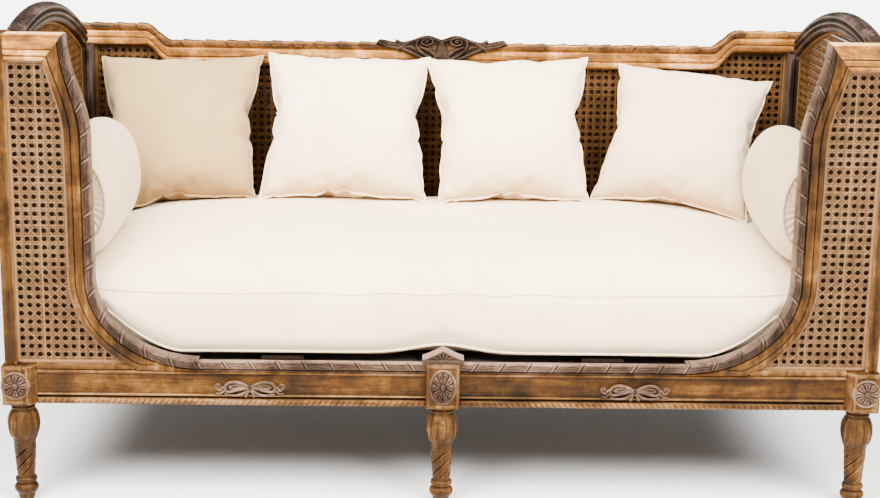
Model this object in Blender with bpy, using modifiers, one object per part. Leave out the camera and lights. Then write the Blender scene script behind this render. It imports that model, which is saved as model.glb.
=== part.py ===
"""Caned settee with front wings, arched arms, loose seat cushion, bolsters and pillows.

Metres, +X to the sitter's left as seen from the front (picture right), +Y to the back, +Z up.
The origin is the middle of the footprint, on the floor.
"""

import math

import bmesh
import bpy
from mathutils import Matrix, Vector
from mathutils.bvhtree import BVHTree

# Clearances
CLEAR = 0.0003
SOFT_CLEAR = 0.0006

# Legs and their blocks
LEG_SPACING = 1.800
LEG_HEIGHT = 0.222
FRONT_BLOCK = 0.072
BLOCK_PROUD = 0.010
BLOCK_ABOVE_RAIL = 0.010
BLOCK_CHAMFER = 0.014
REAR_BLOCK = 0.060
LEG_BULB_RADIUS = 0.0355
REAR_BULB_RADIUS = 0.0290
LEG_SHAFT_RADIUS = 0.0235
LEG_ANKLE_RADIUS = 0.0185
LEG_FOOT_RADIUS = 0.0180
LEG_FLUTES = 6
LEG_FLUTE_DEPTH = 0.0030
LEG_FLUTE_TWIST = math.radians(165.0)
LEG_TENON = 0.012
LEG_NECK = 0.010
LEG_BULB_HEIGHT = 0.082
LEG_COLLAR = 0.004
LEG_FOOT_HEIGHT = 0.054
LEG_RING = 0.0045
LEG_FOOT_BULGE = 0.0075

# Seat rails
RAIL_HEIGHT = 0.078
RAIL_THICK = 0.042
RAIL_BEAD = 0.006
SIDE_RAIL_THICK = 0.036
MOULDING_HEIGHT = 0.022
MOULDING_DEPTH = 0.032
MOULDING_PROUD = 0.006

# Overall depth of the frame, from the front face of the rails to the back of the rear posts
FRAME_DEPTH = 0.825

# Front wings
WING_TOP = 1.012
WING_OUTER = 0.930
WING_THICK = 0.040
WING_NECK_WIDTH = 0.193
WING_TOP_WIDTH = 0.148
WING_SHOULDER = 0.800
SWEEP_WIDTH = 0.217
SWEEP_HEIGHT = 0.178
STILE_WIDTH = 0.050
WING_RAIL_HEIGHT = 0.054
FRONT_POST_WIDTH = 0.026
FRONT_POST_DEPTH = 0.075

# Back
BACK_POST_WIDTH = 0.046
BACK_POST_DEPTH = 0.085
BACK_POST_X = 0.886
CREST_THICK = 0.045
CREST_END_TOP = 0.935
CREST_END_HEIGHT = 0.050
CREST_RUN_TOP = 0.897
CREST_RUN_HEIGHT = 0.059
CREST_SHOULDER_IN = 0.673
CREST_SHOULDER_OUT = 0.735
PANEL_RAIL_HEIGHT = 0.035
PANEL_RAIL_THICK = 0.030
CARVING_WIDTH = 0.330
CARVING_HEIGHT = 0.066
CARVING_RISE = 0.021
CARVING_THICK = 0.012
CARVING_DROP = 0.014
CARVING_RIB = 0.002

# Arms
ARM_INSET = 0.022
ARM_FRONT_TOP = 0.995
ARM_ARCH_RISE = 0.070
ARM_RAIL_HEIGHT = 0.045
ARM_RAIL_THICK = 0.040

# Cane
CANE_WIRE = 0.004
CANE_SWEEP_GAP = 0.007
BACK_CANE_COLUMNS = 12
BACK_CANE_ROWS = 5
ARM_CANE_COLUMNS = 6
ARM_CANE_ROWS = 6
WING_CANE_COLUMNS = 3
WING_CANE_ROWS = 10

# Ornaments on the front
ROSETTE_RADIUS = 0.025
ROSETTE_RELIEF = 0.008
ROSETTE_PETALS = 8
OVAL_ROSETTE_WIDTH = 0.050
OVAL_ROSETTE_HEIGHT = 0.072
BOW_X = 0.411
BOW_WIDTH = 0.146
BOW_HEIGHT = 0.042
BOW_RELIEF = 0.008
CAP_WIDTH = 0.088
CAP_RISE = 0.030
CAP_DEPTH = 0.040

# Seat deck
DECK_HEIGHT = 0.317
SLAT_COUNT = 5
SLAT_WIDTH = 0.090
SLAT_THICK = 0.018
LEDGER_WIDTH = 0.025
LEDGER_HEIGHT = 0.028
BRACE_LENGTH = 0.060
BRACE_HEIGHT = 0.026

# Seat cushion
CUSHION_GAP_FRONT = 0.008
CUSHION_GAP_BACK = 0.012
CUSHION_SIDE_GAP = 0.002
CUSHION_EDGE = 0.142
CUSHION_CROWN = 0.100
CUSHION_BULGE = 0.012

# Bolsters
BOLSTER_LENGTH = 0.395
BOLSTER_WIDTH = 0.172
BOLSTER_HEIGHT = 0.268
BOLSTER_END_RADIUS = 0.62
BOLSTER_ROLL = 0.120
BOLSTER_FRONT_GAP = 0.007

# Pillows
PILLOW_SIZE = 0.396
PILLOW_THICK = 0.150
PILLOW_EDGE = 0.012
PILLOW_PINCH = 0.085
PILLOW_LEAN = math.radians(39.0)
PILLOW_BACK_GAP = 0.001

# Derived places
FRONT_PROUD = BLOCK_PROUD + ROSETTE_RELIEF + CLEAR
FRONT_Y = FRONT_PROUD - (FRAME_DEPTH + FRONT_PROUD) / 2.0
REAR_Y = FRONT_Y + FRAME_DEPTH
BACK_Y = REAR_Y - CREST_THICK
LEG_X = LEG_SPACING / 2.0
WING_NECK = WING_OUTER - WING_NECK_WIDTH
WING_TOP_INNER = WING_OUTER - WING_TOP_WIDTH
POST_INNER_X = WING_OUTER - FRONT_POST_WIDTH
ARM_FRONT_X = WING_OUTER - ARM_INSET
RAIL_TOP = LEG_HEIGHT + RAIL_HEIGHT
BLOCK_TOP = RAIL_TOP + BLOCK_ABOVE_RAIL
BLOCK_FRONT_Y = FRONT_Y - BLOCK_PROUD
SEAT_BORDER_TOP = RAIL_TOP + CLEAR + MOULDING_HEIGHT
SWEEP_CENTRE_X = WING_NECK - SWEEP_WIDTH
SWEEP_CENTRE_Z = SEAT_BORDER_TOP + SWEEP_HEIGHT
BACK_POST_FRONT_Y = REAR_Y - BACK_POST_DEPTH
ARM_START_Y = FRONT_Y + FRONT_POST_DEPTH
ARM_LENGTH = BACK_POST_FRONT_Y - ARM_START_Y
ARM_ANGLE = math.atan2(ARM_FRONT_X - BACK_POST_X, ARM_LENGTH)
ARM_END_GAP = CLEAR + ARM_RAIL_THICK / 2.0 * abs(math.tan(ARM_ANGLE))
PANEL_FOOT = RAIL_TOP + CLEAR
PANEL_SILL = PANEL_FOOT + PANEL_RAIL_HEIGHT
REAR_RAIL_FRONT_Y = REAR_Y - SIDE_RAIL_THICK
INNER_HALF_WIDTH = BACK_POST_X - BACK_POST_WIDTH / 2.0
SEAT_HALF_WIDTH = min(INNER_HALF_WIDTH, ARM_FRONT_X - ARM_RAIL_THICK / 2.0, POST_INNER_X) - CUSHION_SIDE_GAP
SEAT_FRONT_Y = FRONT_Y + WING_THICK + CUSHION_GAP_FRONT
SEAT_BACK_Y = BACK_Y - CUSHION_GAP_BACK
SEAT_BOTTOM = DECK_HEIGHT + CLEAR

FRONT_PLANE = (math.pi / 2.0, 0.0, 0.0)
SIDE_PLANE = (math.pi / 2.0, 0.0, math.pi / 2.0)

WOOD = ((0.235, 0.125, 0.052, 1.0), 0.48)
WORN_WOOD = ((0.330, 0.190, 0.085, 1.0), 0.42)
DARK_WOOD = ((0.110, 0.068, 0.040, 1.0), 0.55)
RAW_WOOD = ((0.400, 0.275, 0.150, 1.0), 0.70)
CANE = ((0.470, 0.300, 0.160, 1.0), 0.55)
LINEN = ((0.800, 0.740, 0.640, 1.0), 0.90)
SHADED_LINEN = ((0.740, 0.665, 0.550, 1.0), 0.90)

for old in list(bpy.data.objects):
    bpy.data.objects.remove(old, do_unlink=True)


def new_collection(name):
    """Return a new collection linked to the scene."""
    collection = bpy.data.collections.new(name)
    bpy.context.scene.collection.children.link(collection)
    return collection


SETTEE = new_collection("caned_settee")
CUTTERS = new_collection("cutters")


def finish(obj, look):
    """Give an object its own material from a colour and a roughness."""
    colour, roughness = look
    material = bpy.data.materials.new(obj.name + "_finish")
    material.use_nodes = True
    shader = material.node_tree.nodes["Principled BSDF"]
    shader.inputs["Base Color"].default_value = colour
    shader.inputs["Roughness"].default_value = roughness
    shader.inputs["Metallic"].default_value = 0.0
    obj.data.materials.clear()
    obj.data.materials.append(material)
    return obj


def add_object(name, data, look=None, location=(0.0, 0.0, 0.0), rotation=(0.0, 0.0, 0.0)):
    """Link a new object: a part if it has a look, otherwise a cutter."""
    obj = bpy.data.objects.new(name, data)
    obj.location = location
    obj.rotation_euler = rotation
    if look is None:
        CUTTERS.objects.link(obj)
        obj.hide_render = True
        obj.display_type = "WIRE"
        return obj
    SETTEE.objects.link(obj)
    return finish(obj, look)


def mesh_from(name, bm):
    """Turn a bmesh into a mesh and free it."""
    bmesh.ops.recalc_face_normals(bm, faces=bm.faces[:])
    mesh = bpy.data.meshes.new(name)
    bm.to_mesh(mesh)
    bm.free()
    return mesh


def plate(name, outlines, thickness, look, location, rotation):
    """A flat outline with optional holes, extruded to both sides of its own plane."""
    curve = bpy.data.curves.new(name, "CURVE")
    curve.dimensions = "2D"
    curve.fill_mode = "BOTH"
    curve.extrude = thickness / 2.0
    for outline in outlines:
        spline = curve.splines.new("POLY")
        spline.points.add(len(outline) - 1)
        for point, (u, v) in zip(spline.points, outline):
            point.co = (u, v, 0.0, 1.0)
        spline.use_cyclic_u = True
    return add_object(name, curve, look, location, rotation)


def box(name, size, centre, look, rotation=(0.0, 0.0, 0.0)):
    """A plain block of the given size about its centre."""
    bm = bmesh.new()
    bmesh.ops.create_cube(bm, size=1.0, matrix=Matrix.Diagonal((*size, 1.0)))
    return add_object(name, mesh_from(name, bm), look, centre, rotation)


def turned_mesh(name, profile, steps):
    """Mesh of a profile of (radius, height) points, top to bottom, screwed round Z."""
    bm = bmesh.new()
    verts = [bm.verts.new((radius, 0.0, height)) for radius, height in profile]
    for upper, lower in zip(verts, verts[1:]):
        bm.edges.new((upper, lower))
    mesh = bpy.data.meshes.new(name + "_profile")
    bm.to_mesh(mesh)
    bm.free()
    blank = add_object(name + "_profile", mesh)
    screw = blank.modifiers.new("turn", "SCREW")
    screw.steps = steps
    screw.render_steps = steps
    screw.use_merge_vertices = True
    screw.merge_threshold = 0.00005
    depsgraph = bpy.context.evaluated_depsgraph_get()
    turned = bpy.data.meshes.new_from_object(blank.evaluated_get(depsgraph))
    bpy.data.objects.remove(blank, do_unlink=True)
    turned.name = name
    return turned


def smooth(obj, angle=35.0):
    """Shade a round piece smooth, with its real corners kept sharp."""
    obj.data.shade_smooth()
    obj.data.set_sharp_from_angle(angle=math.radians(angle))
    return obj


def ease(share):
    """Smooth step from 0 to 1."""
    share = min(max(share, 0.0), 1.0)
    return share * share * (3.0 - 2.0 * share)


def arc(count):
    """Evenly spaced shares from 0 to 1, both ends included."""
    return [index / count for index in range(count + 1)]


# Legs: a turned blank with a leaf bulb, a spiral-fluted shaft and a ringed foot, under a block


def leg_profile(fluted):
    """Radius and height down the leg, with close steps where the flutes run."""
    height = LEG_HEIGHT
    neck = height - LEG_NECK
    bulb = LEG_BULB_RADIUS if fluted else REAR_BULB_RADIUS
    top = [
        (0.0, height + LEG_TENON),
        (LEG_SHAFT_RADIUS, height + LEG_TENON),
        (LEG_SHAFT_RADIUS, neck),
        (bulb * 0.80, neck - LEG_BULB_HEIGHT * 0.10),
        (bulb * 0.97, neck - LEG_BULB_HEIGHT * 0.29),
        (bulb, neck - LEG_BULB_HEIGHT * 0.46),
        (bulb * 0.90, neck - LEG_BULB_HEIGHT * 0.68),
        (bulb * 0.72, neck - LEG_BULB_HEIGHT * 0.88),
        (LEG_SHAFT_RADIUS, neck - LEG_BULB_HEIGHT),
    ]
    shaft_top = neck - LEG_BULB_HEIGHT - LEG_COLLAR
    shaft_foot = LEG_FOOT_HEIGHT
    count = 6 if fluted else 1
    shaft = []
    for share in arc(count):
        radius = LEG_SHAFT_RADIUS + (LEG_ANKLE_RADIUS - LEG_SHAFT_RADIUS) * share
        shaft.append((radius, shaft_top + (shaft_foot - shaft_top) * share))
    foot = [
        (LEG_ANKLE_RADIUS + LEG_RING, LEG_FOOT_HEIGHT * 0.91),
        (LEG_ANKLE_RADIUS + LEG_RING, LEG_FOOT_HEIGHT * 0.78),
        (LEG_ANKLE_RADIUS, LEG_FOOT_HEIGHT * 0.70),
        (LEG_ANKLE_RADIUS + LEG_FOOT_BULGE * 0.93, LEG_FOOT_HEIGHT * 0.57),
        (LEG_ANKLE_RADIUS + LEG_FOOT_BULGE, LEG_FOOT_HEIGHT * 0.44),
        (LEG_ANKLE_RADIUS + LEG_FOOT_BULGE * 0.27, LEG_FOOT_HEIGHT * 0.28),
        (LEG_FOOT_RADIUS, LEG_FOOT_HEIGHT * 0.20),
        (LEG_FOOT_RADIUS * 0.92, 0.0),
        (0.0, 0.0),
    ]
    return top + shaft + foot, shaft_top, shaft_foot


def cut_flutes(mesh, shaft_top, shaft_foot):
    """Draw the shaft's points in along flutes that wind round it."""
    for vert in mesh.vertices:
        share = (shaft_top - vert.co.z) / (shaft_top - shaft_foot)
        if share < 0.01 or share > 0.99:
            continue
        turn = math.atan2(vert.co.y, vert.co.x) + LEG_FLUTE_TWIST * share
        depth = LEG_FLUTE_DEPTH * (0.5 - 0.5 * math.cos(LEG_FLUTES * turn))
        radius = math.hypot(vert.co.x, vert.co.y)
        vert.co.x *= (radius - depth) / radius
        vert.co.y *= (radius - depth) / radius


def block_outline(width, depth, chamfer, inner_side):
    """Plan of a leg block, its inner front corner cut away where a rail runs in below the wing."""
    right, left = width / 2.0, -width / 2.0
    front, back = -depth / 2.0, depth / 2.0
    if inner_side == 0:
        return [(left, front), (right, front), (right, back), (left, back)]
    if inner_side > 0:
        return [(left, front), (right - chamfer, front), (right, front + chamfer), (right, back), (left, back)]
    return [(left + chamfer, front), (right, front), (right, back), (left, back), (left, front + chamfer)]


def make_leg(name, x, y, block_y, width, depth, top, fluted, inner_side):
    """One leg with its block, joined into one turned and squared piece."""
    profile, shaft_top, shaft_foot = leg_profile(fluted)
    turned = turned_mesh(name, profile, 24 if fluted else 14)
    if fluted:
        cut_flutes(turned, shaft_top, shaft_foot)
    leg = add_object(name, turned, WORN_WOOD if fluted else DARK_WOOD, (x, y, 0.0))
    smooth(leg, 50.0)
    outline = block_outline(width, depth, BLOCK_CHAMFER, inner_side)
    bm = bmesh.new()
    base = bm.faces.new([bm.verts.new((u, v, LEG_HEIGHT)) for u, v in outline])
    raised = bmesh.ops.extrude_face_region(bm, geom=[base])
    moved = [item for item in raised["geom"] if isinstance(item, bmesh.types.BMVert)]
    bmesh.ops.translate(bm, verts=moved, vec=(0.0, 0.0, top - LEG_HEIGHT))
    block = add_object(name + "_block", mesh_from(name + "_block", bm), None, (x, block_y, 0.0))
    union = leg.modifiers.new("block", "BOOLEAN")
    union.operation = "UNION"
    union.object = block
    return leg


FRONT_LEG_Y = BLOCK_FRONT_Y + FRONT_BLOCK / 2.0
CENTRE_BLOCK_DEPTH = RAIL_THICK + BLOCK_PROUD
CENTRE_BLOCK_Y = BLOCK_FRONT_Y + CENTRE_BLOCK_DEPTH / 2.0
REAR_LEG_Y = REAR_Y - REAR_BLOCK / 2.0
CENTRE_REAR_Y = REAR_Y - SIDE_RAIL_THICK / 2.0

CORNER_PLAN = (FRONT_LEG_Y, FRONT_LEG_Y, FRONT_BLOCK, FRONT_BLOCK, BLOCK_TOP)
CENTRE_PLAN = (FRONT_LEG_Y, CENTRE_BLOCK_Y, FRONT_BLOCK, CENTRE_BLOCK_DEPTH, SEAT_BORDER_TOP)
REAR_PLAN = (REAR_LEG_Y, REAR_LEG_Y, REAR_BLOCK, REAR_BLOCK, RAIL_TOP)
CENTRE_REAR_PLAN = (REAR_LEG_Y, CENTRE_REAR_Y, REAR_BLOCK, SIDE_RAIL_THICK, RAIL_TOP)
make_leg("front_leg_left", -LEG_X, *CORNER_PLAN, True, 1)
make_leg("front_leg_right", LEG_X, *CORNER_PLAN, True, -1)
make_leg("front_leg_centre", 0.0, *CENTRE_PLAN, True, 0)
make_leg("rear_leg_left", -BACK_POST_X, *REAR_PLAN, False, 0)
make_leg("rear_leg_right", BACK_POST_X, *REAR_PLAN, False, 0)
make_leg("rear_leg_centre", 0.0, *CENTRE_REAR_PLAN, False, 0)


# Seat rails, each a moulded section run between two blocks


def rail_section(thickness):
    """Section of a seat rail: a rope bead at the foot, a groove, a flat frieze and a top bead."""
    bead = RAIL_BEAD
    front = 0.0
    points = [(thickness, 0.0), (thickness, RAIL_HEIGHT)]
    for share in arc(4):
        angle = math.pi / 2.0 + math.pi * share
        points.append((front + bead + bead * math.cos(angle), RAIL_HEIGHT - bead + bead * math.sin(angle)))
    points.append((front + bead * 0.7, RAIL_HEIGHT - 2.0 * bead))
    points.append((front + bead * 0.7, 3.0 * bead))
    points.append((front + bead * 1.4, 2.5 * bead))
    for share in arc(4):
        angle = math.pi / 2.0 + math.pi * share
        points.append((front + bead + bead * math.cos(angle), bead + bead * math.sin(angle)))
    return points


def front_rail(name, start, end):
    """Half of the front rail, between the corner block and the centre block."""
    middle = ((start + end) / 2.0, FRONT_Y, LEG_HEIGHT)
    return plate(name, [rail_section(RAIL_THICK)], end - start, WORN_WOOD, middle, SIDE_PLANE)


BLOCK_INNER_X = LEG_X - FRONT_BLOCK / 2.0 - CLEAR
CENTRE_SIDE_X = FRONT_BLOCK / 2.0 + CLEAR
front_rail("front_rail_left", -BLOCK_INNER_X, -CENTRE_SIDE_X)
front_rail("front_rail_right", CENTRE_SIDE_X, BLOCK_INNER_X)

REAR_RAIL_START = REAR_BLOCK / 2.0 + CLEAR
REAR_RAIL_END = BACK_POST_X - REAR_BLOCK / 2.0 - CLEAR
REAR_RAIL_LENGTH = REAR_RAIL_END - REAR_RAIL_START
for side, sign in (("left", -1.0), ("right", 1.0)):
    centre = (sign * (REAR_RAIL_START + REAR_RAIL_END) / 2.0, CENTRE_REAR_Y, LEG_HEIGHT + RAIL_HEIGHT / 2.0)
    box("rear_rail_" + side, (REAR_RAIL_LENGTH, SIDE_RAIL_THICK, RAIL_HEIGHT), centre, DARK_WOOD)


# Wings: post, mitred top rail, sweeping stile and cane at each end of the front


def wing_edge(height):
    """Inner edge of the wing: a soft shoulder above the waist and a quarter sweep onto the rail."""
    if height >= WING_SHOULDER:
        share = (height - WING_SHOULDER) / (WING_TOP - WING_SHOULDER)
        return WING_NECK + (WING_TOP_INNER - WING_NECK) * ease(share)
    if height >= SWEEP_CENTRE_Z:
        return WING_NECK
    drop = min((SWEEP_CENTRE_Z - height) / SWEEP_HEIGHT, 1.0)
    return SWEEP_CENTRE_X + SWEEP_WIDTH * math.sqrt(1.0 - drop * drop)


def stile_edge(height):
    """Cane side of the stile, a stile's width outside the inner edge."""
    if height >= SWEEP_CENTRE_Z:
        return wing_edge(height) + STILE_WIDTH
    drop = (SWEEP_CENTRE_Z - height) / (SWEEP_HEIGHT + STILE_WIDTH)
    return SWEEP_CENTRE_X + (SWEEP_WIDTH + STILE_WIDTH) * math.sqrt(1.0 - drop * drop)


WING_RAIL_FOOT = WING_TOP - WING_RAIL_HEIGHT
STILE_FOOT = RAIL_TOP + CLEAR
STILE_END_X = SWEEP_CENTRE_X + CLEAR
MITRE_X = stile_edge(WING_RAIL_FOOT)


def stile_outline():
    """Right stile: up its cane side, over the mitre, down the inner edge to the rail."""
    outer = []
    for share in arc(10):
        drop = (SWEEP_CENTRE_Z - STILE_FOOT) * (1.0 - share)
        outer.append((stile_edge(SWEEP_CENTRE_Z - drop), SWEEP_CENTRE_Z - drop))
    for share in arc(6)[1:]:
        height = SWEEP_CENTRE_Z + (WING_RAIL_FOOT - SWEEP_CENTRE_Z) * share
        outer.append((stile_edge(height), height - (CLEAR if share == 1.0 else 0.0)))
    inner = [(WING_TOP_INNER, WING_TOP - CLEAR)]
    for share in arc(7)[1:]:
        height = WING_TOP + (SWEEP_CENTRE_Z - WING_TOP) * share
        inner.append((wing_edge(height), height))
    for share in arc(12)[1:-1]:
        angle = math.pi / 2.0 * share
        inner.append((SWEEP_CENTRE_X + SWEEP_WIDTH * math.cos(angle), SWEEP_CENTRE_Z - SWEEP_HEIGHT * math.sin(angle)))
    inner.append((STILE_END_X, SEAT_BORDER_TOP))
    inner.append((STILE_END_X, STILE_FOOT))
    return outer + inner


def flipped(outline):
    """The same outline on the left side."""
    return [(-u, v) for u, v in reversed(outline)]


def mirrored_plate(stem, outline, thickness, look, y):
    """A left and a right copy of a flat piece that stands in the front plane."""
    plate(stem + "_right", [outline], thickness, look, (0.0, y, 0.0), FRONT_PLANE)
    plate(stem + "_left", [flipped(outline)], thickness, look, (0.0, y, 0.0), FRONT_PLANE)


WING_Y = FRONT_Y + WING_THICK / 2.0
mirrored_plate("wing_stile", stile_outline(), WING_THICK, WORN_WOOD, WING_Y)

wing_rail = [
    (WING_TOP_INNER, WING_TOP),
    (MITRE_X, WING_RAIL_FOOT),
    (POST_INNER_X - CLEAR, WING_RAIL_FOOT),
    (POST_INNER_X - CLEAR, WING_TOP - CLEAR),
    (POST_INNER_X - CLEAR, WING_TOP),
]
mirrored_plate("wing_rail", wing_rail, WING_THICK, WORN_WOOD, WING_Y)

POST_SIZE = (FRONT_POST_WIDTH, FRONT_POST_DEPTH, WING_TOP - BLOCK_TOP - CLEAR)
POST_Z = (WING_TOP + BLOCK_TOP + CLEAR) / 2.0
for side, sign in (("left", -1.0), ("right", 1.0)):
    centre = (sign * (WING_OUTER - FRONT_POST_WIDTH / 2.0), FRONT_Y + FRONT_POST_DEPTH / 2.0, POST_Z)
    box("front_post_" + side, POST_SIZE, centre, WOOD)


# Cane: a net of strands mapped between the edges of its frame


def cane_net(name, columns, rows, place, location=(0.0, 0.0, 0.0), rotation=(0.0, 0.0, 0.0)):
    """A net whose strands follow a map from shares across and up to a plane."""
    bm = bmesh.new()
    grid = bmesh.ops.create_grid(bm, x_segments=columns, y_segments=rows, size=0.5)
    for vert in grid["verts"]:
        u, v = place(vert.co.x + 0.5, vert.co.y + 0.5)
        vert.co = (u, v, 0.0)
    net = add_object(name, mesh_from(name, bm), CANE, location, rotation)
    strands = net.modifiers.new("strands", "WIREFRAME")
    strands.thickness = CANE_WIRE
    strands.use_replace = True
    strands.use_boundary = True
    strands.use_even_offset = False
    strands.offset = 0.0
    return net


NET_INSET = CANE_WIRE / 2.0 + CLEAR


def wing_cane_place(sign):
    """Map for a wing: straight rows between the post and the stile."""

    def place(across, up):
        foot = BLOCK_TOP + NET_INSET
        height = foot + (WING_RAIL_FOOT - NET_INSET - foot) * up
        inner = stile_edge(height) + NET_INSET + CANE_SWEEP_GAP
        outer = POST_INNER_X - NET_INSET
        return sign * (inner + (outer - inner) * across), height

    return place


for side, sign in (("left", -1.0), ("right", 1.0)):
    cane_net("wing_cane_" + side, WING_CANE_COLUMNS, WING_CANE_ROWS, wing_cane_place(sign), (0.0, WING_Y, 0.0), FRONT_PLANE)


# Back: posts, crest rail, its carving, a sill on the rear rail and one wide cane panel


def crest_lift(x):
    """Share of the crest's rise at a place along it, 0 in the long run and 1 at the raised ends."""
    return ease((abs(x) - CREST_SHOULDER_IN) / (CREST_SHOULDER_OUT - CREST_SHOULDER_IN))


def crest_top(x):
    """Top edge of the crest rail."""
    return CREST_RUN_TOP + (CREST_END_TOP - CREST_RUN_TOP) * crest_lift(x)


def crest_foot(x):
    """Lower edge of the crest rail."""
    run = CREST_RUN_TOP - CREST_RUN_HEIGHT
    end = CREST_END_TOP - CREST_END_HEIGHT
    return run + (end - run) * crest_lift(x)


CREST_HALF = BACK_POST_X + BACK_POST_WIDTH / 2.0
crest_stations = [-CREST_HALF]
crest_stations += [-CREST_SHOULDER_OUT + (CREST_SHOULDER_OUT - CREST_SHOULDER_IN) * share for share in arc(6)]
crest_stations += [-x for x in reversed(crest_stations)]
crest = [(x, crest_foot(x)) for x in crest_stations]
crest += [(x, crest_top(x)) for x in reversed(crest_stations)]
plate("crest_rail", [crest], CREST_THICK, WOOD, (0.0, REAR_Y - CREST_THICK / 2.0, 0.0), FRONT_PLANE)


def carving_outline():
    """A low shell between two scrolls that taper away along the crest."""
    half = CARVING_WIDTH / 2.0
    foot = CREST_RUN_TOP + CARVING_RISE - CARVING_HEIGHT
    waist = CREST_RUN_TOP - CARVING_DROP
    rib = waist - CARVING_RIB
    top, low = [], []
    for share in arc(24):
        x = -half + CARVING_WIDTH * share
        reach = abs(x) / half
        shell = math.exp(-((reach / 0.30) ** 2))
        scroll = math.exp(-(((reach - 0.52) / 0.16) ** 2))
        swell = 0.16 + 0.84 * max(shell, 0.62 * scroll) * (1.0 - reach ** 6)
        top.append((x, waist + (CARVING_RISE + CARVING_DROP) * swell))
        low.append((x, rib - (rib - foot) * (0.10 + 0.90 * swell)))
    return low + top[::-1]


CARVING_Y = BACK_Y - CLEAR - CARVING_THICK / 2.0
plate("crest_carving", [carving_outline()], CARVING_THICK, WORN_WOOD, (0.0, CARVING_Y, 0.0), FRONT_PLANE)

BACK_POST_TOP = CREST_END_TOP - CREST_END_HEIGHT - CLEAR
BACK_POST_FOOT = RAIL_TOP + CLEAR
BACK_POST_SIZE = (BACK_POST_WIDTH, BACK_POST_DEPTH, BACK_POST_TOP - BACK_POST_FOOT)
for side, sign in (("left", -1.0), ("right", 1.0)):
    centre = (sign * BACK_POST_X, REAR_Y - BACK_POST_DEPTH / 2.0, (BACK_POST_TOP + BACK_POST_FOOT) / 2.0)
    box("back_post_" + side, BACK_POST_SIZE, centre, DARK_WOOD)

SILL_Y = REAR_Y - CREST_THICK / 2.0
SILL_LENGTH = 2.0 * (INNER_HALF_WIDTH - CLEAR)
SILL_CENTRE = (0.0, SILL_Y, PANEL_FOOT + PANEL_RAIL_HEIGHT / 2.0)
box("back_sill", (SILL_LENGTH, PANEL_RAIL_THICK, PANEL_RAIL_HEIGHT), SILL_CENTRE, DARK_WOOD)


def back_stations():
    """Columns of the back net: even in the run, closer where the crest's shoulder rises."""
    middle = (CREST_SHOULDER_IN + CREST_SHOULDER_OUT) / 2.0
    end = [INNER_HALF_WIDTH - NET_INSET, CREST_SHOULDER_OUT, middle]
    run = [CREST_SHOULDER_IN * (2.0 * share - 1.0) for share in arc(BACK_CANE_COLUMNS)]
    return [-x for x in end] + run + end[::-1]


BACK_STATIONS = back_stations()
SHOULDER_LAG = (CREST_SHOULDER_OUT - CREST_SHOULDER_IN) / 3.0


def back_cane_place(across, up):
    """Map for the back panel: straight columns between the posts, cut to the crest's lower edge."""
    x = BACK_STATIONS[round(across * (len(BACK_STATIONS) - 1))]
    foot = PANEL_SILL + NET_INSET
    head = crest_foot(max(abs(x) - SHOULDER_LAG, 0.0)) - NET_INSET
    return x, foot + (head - foot) * up


BACK_COLUMNS = len(BACK_STATIONS) - 1
cane_net("back_cane", BACK_COLUMNS, BACK_CANE_ROWS, back_cane_place, (0.0, SILL_Y, 0.0), FRONT_PLANE)


# Arms: an arched top rail, a sill on the side rail and cane, all along a line that splays to the front


def arm_top(share):
    """Top edge of the arm rail, from the front post to the back post."""
    level = ARM_FRONT_TOP + (CREST_END_TOP - ARM_FRONT_TOP) * share
    return level + ARM_ARCH_RISE * 4.0 * share * (1.0 - share)


ARM_REACH = ARM_LENGTH / math.cos(ARM_ANGLE)
ARM_RUN = ARM_REACH - 2.0 * ARM_END_GAP
arm_shares = arc(14)
arm_outline = [(ARM_END_GAP + ARM_RUN * share, arm_top(share) - ARM_RAIL_HEIGHT) for share in arm_shares]
arm_outline += [(ARM_END_GAP + ARM_RUN * share, arm_top(share)) for share in reversed(arm_shares)]


def arm_cane_place(along, up):
    """Map for an arm panel: straight columns from the sill to the arch."""
    share = along
    run = ARM_END_GAP + NET_INSET
    reach = run + (ARM_REACH - 2.0 * run) * share
    foot = PANEL_SILL + NET_INSET
    head = arm_top((reach - ARM_END_GAP) / ARM_RUN) - ARM_RAIL_HEIGHT - NET_INSET - CANE_WIRE * 0.5
    return reach, foot + (head - foot) * up


for side, sign in (("left", -1.0), ("right", 1.0)):
    seat = (sign * ARM_FRONT_X, ARM_START_Y, 0.0)
    turn = (math.pi / 2.0, 0.0, math.pi / 2.0 + sign * ARM_ANGLE)
    plate("arm_rail_" + side, [arm_outline], ARM_RAIL_THICK, DARK_WOOD, seat, turn)
    sill = [
        (ARM_END_GAP, PANEL_FOOT),
        (ARM_REACH - ARM_END_GAP, PANEL_FOOT),
        (ARM_REACH - ARM_END_GAP, PANEL_SILL),
        (ARM_END_GAP, PANEL_SILL),
    ]
    plate("arm_sill_" + side, [sill], PANEL_RAIL_THICK, DARK_WOOD, seat, turn)
    cane_net("arm_cane_" + side, ARM_CANE_COLUMNS, ARM_CANE_ROWS, arm_cane_place, seat, turn)

SIDE_START_Y = BLOCK_FRONT_Y + FRONT_BLOCK
SIDE_END_Y = REAR_Y - REAR_BLOCK
SIDE_REACH_START = (SIDE_START_Y - ARM_START_Y) / math.cos(ARM_ANGLE) + ARM_END_GAP
SIDE_REACH_END = (SIDE_END_Y - ARM_START_Y) / math.cos(ARM_ANGLE) - ARM_END_GAP
side_outline = [
    (SIDE_REACH_START, LEG_HEIGHT),
    (SIDE_REACH_END, LEG_HEIGHT),
    (SIDE_REACH_END, RAIL_TOP),
    (SIDE_REACH_START, RAIL_TOP),
]
for side, sign in (("left", -1.0), ("right", 1.0)):
    seat = (sign * ARM_FRONT_X, ARM_START_Y, 0.0)
    turn = (math.pi / 2.0, 0.0, math.pi / 2.0 + sign * ARM_ANGLE)
    plate("side_rail_" + side, [side_outline], SIDE_RAIL_THICK, DARK_WOOD, seat, turn)


# Ornaments on the front face


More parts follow.
